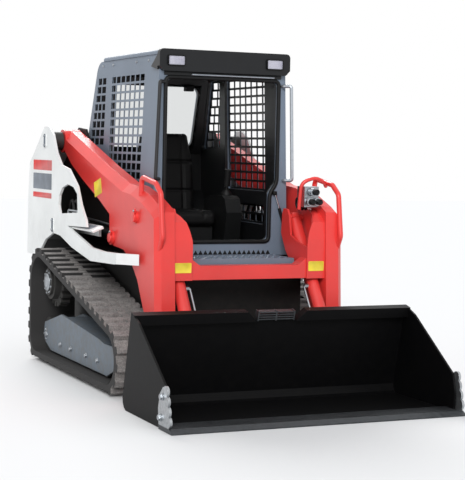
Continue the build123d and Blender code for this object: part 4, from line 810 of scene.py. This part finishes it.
ledge = begin(bpy.ops.mesh.primitive_cube_add, "ledge_model", size=1.0, scale=(0.078, 0.480, 0.012))
choose(ledge, lambda c, n: n.y < -0.9)
bpy.ops.mesh.extrude_region_move(TRANSFORM_OT_translate={"value": (0, -0.014, -0.006)})
choose(ledge, lambda c, d: c.z > 0.003 and abs(d.x) > 0.9, "edges")
bpy.ops.mesh.bevel(offset=0.004, segments=2)
slope = Matrix.Translation((0.689, 0.418, 0.957)) @ Matrix.Rotation(radians(22), 4, "Y")
repeat(ledge, "foot_ledges", [slope, MIRROR_X @ slope], "white_enamel", "chassis")
tread = begin(bpy.ops.mesh.primitive_grid_add, "tread_model",
              x_subdivisions=TREAD_ACROSS, y_subdivisions=TREAD_ALONG, size=1.0)
choose(tread, diagonal)
bpy.ops.mesh.extrude_region_move(TRANSFORM_OT_translate={"value": (0, 0, 0.003)})
thicken(tread, 0.002)
lay = slope @ Matrix.Translation((0, 0, 0.008)) @ Matrix.Diagonal((0.060, 0.360, 1, 1))
repeat(tread, "ledge_treads", [lay, MIRROR_X @ lay], "grit_tread_grey", "chassis")

# %% [markdown]
# The doorway is edged with a bulb seal, the strip of soft rubber that a closed door presses on. Over it sits a black
# header with a slim bar, and on the left post a gas strut that would hold the door open. Tubes and rounded blocks
# make them: a tube follows a path with rounded corners, a block has all its edges rounded.

# %% Doorway
DOOR_FACE, BAR_HEIGHT, BAR_FRONT = -0.205, 1.940, -0.221


def tube(name, points, radius, bend=0.02, closed=False):
    """A round tube along a path whose corners are rounded."""
    path = []
    for i, point in enumerate(points):
        here, before, after = Vector(point), Vector(points[i - 1]), Vector(points[(i + 1) % len(points)])
        if not closed and i in (0, len(points) - 1):
            path.append(here)
            continue
        cut = min(bend, (before - here).length * 0.45, (after - here).length * 0.45)
        start = here + (before - here).normalized() * cut
        end = here + (after - here).normalized() * cut
        path += [start * (1 - t) ** 2 + here * 2 * t * (1 - t) + end * t ** 2 for t in (0, 0.25, 0.5, 0.75, 1)]
    line = bpy.data.curves.new(name, "CURVE")
    line.dimensions = "3D"
    line.bevel_depth = radius
    line.bevel_resolution = 4
    line.use_fill_caps = True
    run = line.splines.new("POLY")
    run.points.add(len(path) - 1)
    for spot, co in zip(run.points, path):
        spot.co = (*co, 1)
    run.use_cyclic_u = closed
    piece = bpy.data.objects.new(name, line)
    bpy.context.collection.objects.link(piece)
    object_mode()
    piece.select_set(True)
    bpy.context.view_layer.objects.active = piece
    bpy.ops.object.convert(target="MESH")
    return bpy.context.object


def gather(name, parts):
    """Join finished parts into one piece."""
    object_mode()
    for part in parts:
        part.select_set(True)
    bpy.context.view_layer.objects.active = parts[0]
    bpy.ops.object.join()
    parts[0].name = name
    return parts[0]


def rounded_block(name, size, middle, bevel, segments=3):
    """A block with all its edges rounded."""
    piece = begin(bpy.ops.mesh.primitive_cube_add, name, size=1.0, location=middle, scale=size)
    choose(piece, lambda c, d: True, "edges")
    bpy.ops.mesh.bevel(offset=bevel, segments=segments)
    bpy.ops.object.mode_set(mode="OBJECT")
    return piece


edge = [(-0.389, 0.897), (0.336, 0.897), (0.336, 1.202), (0.386, 1.274), (0.386, 1.921), (-0.389, 1.921)]
seal = tube("door_seal", [(x, DOOR_FACE - 0.003, z) for x, z in edge], 0.013, 0.035, closed=True)
close(seal, "grained_black_plastic", "chassis")
header = rounded_block("door_header", (0.80, 0.006, 0.024), (0, DOOR_FACE - 0.003, 1.944), 0.002)
close(header, "visor_black_plastic", "chassis")
path = [(-0.215, DOOR_FACE), (-0.215, BAR_FRONT), (0.345, BAR_FRONT), (0.345, DOOR_FACE)]
bar = tube("header_bar", [(x, y, BAR_HEIGHT) for x, y in path], 0.006, 0.008)
close(bar, "satin_rail_steel", "chassis")
top, foot = Vector((0.371, DOOR_FACE - 0.012, 1.207)), Vector((0.441, DOOR_FACE - 0.012, 0.994))
middle = foot.lerp(top, 0.55)
barrel = tube("strut_barrel", [foot, middle], 0.010)
seat = Vector((0, 0.004, 0))
lugs = [rounded_block("strut_lug", (0.026, 0.022, 0.026), spot + seat, 0.004) for spot in (top, foot)]
close(gather("door_strut", [barrel] + lugs), "grained_black_plastic", "chassis")
close(tube("door_strut_rod", [middle, top], 0.005), "hard_chrome", "chassis")
box = rounded_block("window_lamp", (0.063, 0.050, 0.041), (0.242, 0.958, 1.905), 0.006)
close(box, "grained_black_plastic", "chassis")

# %% [markdown]
# Auxiliary couplers: quick couplings for a powered tool, each with a knurled collar and a dust cap. Hoses run back
# from them into the arm, and a red hoop guards them. The knurl is made by insetting each side face on its own.

# %% Couplers
SOCKETS = [(0.427, 1.168), (0.475, 1.168), (0.451, 1.228)]
COLLAR_BACK, CAP_BACK = -0.596, -0.6195
collar = begin(bpy.ops.mesh.primitive_cylinder_add, "collar_model",
               vertices=28, radius=0.0245, depth=0.020, location=(0, 0, 0.010))
choose(collar, lambda c, n: abs(n.z) < 0.1)
bpy.ops.mesh.inset(thickness=0.0007, depth=0.0012, use_individual=True)
spots = [facing((x, COLLAR_BACK, z), (0, -1, 0)) for x, z in SOCKETS]
repeat(collar, "coupler_collars", spots, "zinc_steel", "lift_arms")
cap = begin(bpy.ops.mesh.primitive_cylinder_add, "cap_model",
            vertices=24, radius=0.0185, depth=0.030, location=(0, 0, 0.015))
choose(cap, lambda c, n: n.z > 0.9)
bpy.ops.mesh.inset(thickness=0.004, depth=0.004)
bpy.ops.mesh.inset(thickness=0.004, depth=-0.003)
spots = [facing((x, CAP_BACK, z), (0, -1, 0)) for x, z in SOCKETS]
repeat(cap, "coupler_caps", spots, "grained_black_plastic", "lift_arms")
arch = [
    (0.393, -0.520, 1.118), (0.393, -0.545, 1.285), (0.480, -0.560, 1.318),
    (0.560, -0.530, 1.290), (0.588, -0.500, 1.262),
]
close(tube("coupler_hoop", arch, 0.012, 0.05), "coral_red_enamel", "lift_arms")
hoses = []
for x, z in SOCKETS:
    way = [(x, -0.477, z + 0.012), (x, -0.420, z + 0.016), (x + 0.004, -0.408, 1.140), (x + 0.004, -0.446, 1.116)]
    hoses.append(tube("hose", way, 0.010, 0.045))
close(gather("coupler_hoses", hoses), "grained_black_plastic", "lift_arms")

# %% [markdown]
# The cylinders are fed through hard pipes. On each tilt cylinder a pipe runs along the inner side between two hex
# fittings, and on each lift cylinder one lies on top of the barrel. They move with the barrels.

# %% Cylinder pipes
PIPE_STAND, PIPE_RISE = 0.006, 0.020
PIPES = (
    ("tilt", "tilt_barrels", 0.445, TILT_TOP, TILT_PIN, (0.50, 0.69), (-1, 0.0), 0.039),
    ("lift", "lift_barrels", 0.560, LIFT_BASE, LIFT_PIN, (0.16, 0.76), (0, 1.0), 0.038),
)


def along(start, end, s):
    """Point at a distance s from the start towards the end, in the side view."""
    a, b = Vector(start), Vector(end)
    return a + (b - a).normalized() * s


fitting = begin(bpy.ops.mesh.primitive_cylinder_add, "fitting_model",
                vertices=6, radius=0.015, depth=0.030, location=(0, 0, 0.0))
choose(fitting, lambda c, d: abs(c.z) > 0.014 and abs(d.z) < 0.1, "edges")
bpy.ops.mesh.bevel(offset=0.003, segments=1)
for name, body, x, start, end, reach, (aside, above), radius in PIPES:
    off = radius + PIPE_STAND
    runs, spots = [], []
    for side in SIDES:
        line = []
        out = Vector((side * aside, 0, above))
        for s in reach:
            y, z = along(start, end, s)
            base = Vector((side * (x + aside * off), y, z + above * off))
            spots.append(facing(base, out))
            line += [base, base + out * PIPE_RISE] if s == reach[0] else [base + out * PIPE_RISE, base]
        runs.append(tube("run", line, 0.007, 0.012))
    close(gather(name + "_pipes", runs), "zinc_steel", body)
    repeat(fitting, name + "_fittings", spots, "zinc_steel", body, keep=True)

# %% [markdown]
# Through the opening in each tower a drive motor's valve block can be seen: a black block with bright fittings, a
# pipe across it and two hoses that drop to the track drive.

# %% Tower valves
VALVE_X, PIPE_X, HOSE_X, DROP_X = 0.691, 0.700, 0.680, 0.660
blocks, pipes, hoses, spots = [], [], [], []
for side in SIDES:
    blocks.append(rounded_block("valve", (0.066, 0.250, 0.060), (side * VALVE_X, 0.640, 1.000), 0.006))
    bridge = [(0.745, 1.026), (0.745, 1.052), (0.545, 1.052), (0.545, 1.026)]
    pipes.append(tube("cross_pipe", [(side * PIPE_X, y, z) for y, z in bridge], 0.008, 0.015))
    for y in (0.590, 0.680):
        spots.append(Matrix.Translation((side * HOSE_X, y, 1.042)))
        way = [
            (side * HOSE_X, y, 1.050), (side * HOSE_X, y + 0.02, 1.110), (side * 0.668, y + 0.10, 1.120),
            (side * DROP_X, y + 0.16, 1.040), (side * DROP_X, y + 0.18, 0.900),
        ]
        hoses.append(tube("drop", way, 0.011, 0.05))
close(gather("tower_valves", blocks), "black_enamel", "chassis")
close(gather("tower_pipes", pipes), "zinc_steel", "chassis")
close(gather("tower_hoses", hoses), "grained_black_plastic", "chassis")
repeat(fitting, "tower_fittings", spots, "zinc_steel", "chassis")

# %% [markdown]
# At the back: a paddle latch on the engine door, a pull handle on the hood, and black bezels round the tail lamps.
# Latch and bezels are sunk blocks like the work lamps' bezels, and the pull is a bent tube.

# %% Rear fittings
DOOR_OUT, LATCH_X, LATCH_Z = 1.652, -0.415, 0.960
PULL_HALF, PULL_Y, PULL_FOOT, PULL_TOP = 0.090, 1.520, 1.333, 1.358
latch = bezel("door_latch", (0.070, 0.008, 0.120), (LATCH_X, DOOR_OUT + 0.004, LATCH_Z), 1, 0.010, 3, 0.008, 0.005)
paddle = rounded_block("latch_paddle", (0.036, 0.010, 0.070), (LATCH_X, DOOR_OUT + 0.007, LATCH_Z), 0.003)
close(gather("door_latch", [latch, paddle]), "grained_black_plastic", "rear_door")
bow = [(-PULL_HALF, PULL_FOOT), (-PULL_HALF, PULL_TOP), (PULL_HALF, PULL_TOP), (PULL_HALF, PULL_FOOT)]
pull = tube("hood_pull", [(x, PULL_Y, z) for x, z in bow], 0.007, 0.018)
close(pull, "grained_black_plastic", "engine_hood")
rim = bezel("lamp_rim_model", (0.116, 0.014, 0.086), (0, 0, 0), 1, 0.008, 3, 0.007, 0.006, step=0.001)
spots = [Matrix.Translation((side * 0.620, 1.602, 0.795)) for side in SIDES]
repeat(rim, "tail_lamp_rims", spots, "grained_black_plastic", "chassis")

# %% [markdown]
# In the cab: a ribbed rubber mat on the floor, and a folded boot round the foot of each joystick. The mat's ribs are
# strips of a grid drawn up, the boot is a cylinder stepped in and up by turns.

# %% Cab floor and boots
MAT_STRIPS, BOOT_FOLDS = 25, 4
mat = begin(bpy.ops.mesh.primitive_grid_add, "floor_mat_model", x_subdivisions=MAT_STRIPS, y_subdivisions=2, size=1.0)
choose(mat, lambda c, n: strip_of(c.x, MAT_STRIPS) % 2 == 1)
bpy.ops.mesh.extrude_region_move(TRANSFORM_OT_translate={"value": (0, 0, 0.004)})
thicken(mat, 0.003)
lay = Matrix.Translation((0, 0.085, 0.6235)) @ Matrix.Diagonal((0.56, 0.40, 1, 1))
repeat(mat, "floor_mat", [lay], "ribbed_floor_rubber", "chassis")
boot = begin(bpy.ops.mesh.primitive_cylinder_add, "boot_model",
             vertices=24, radius=0.040, depth=0.010, location=(0, 0, 0.005))
choose(boot, lambda c, n: n.z > 0.9)
for fold in range(BOOT_FOLDS):
    bpy.ops.mesh.inset(thickness=0.003, depth=0.008)
    bpy.ops.mesh.inset(thickness=0.003, depth=-0.002)
spots = [Matrix.Translation((side * 0.294, 0.380, 1.170)) for side in SIDES]
repeat(boot, "joystick_boots", spots, "grained_black_plastic", "chassis", 60)
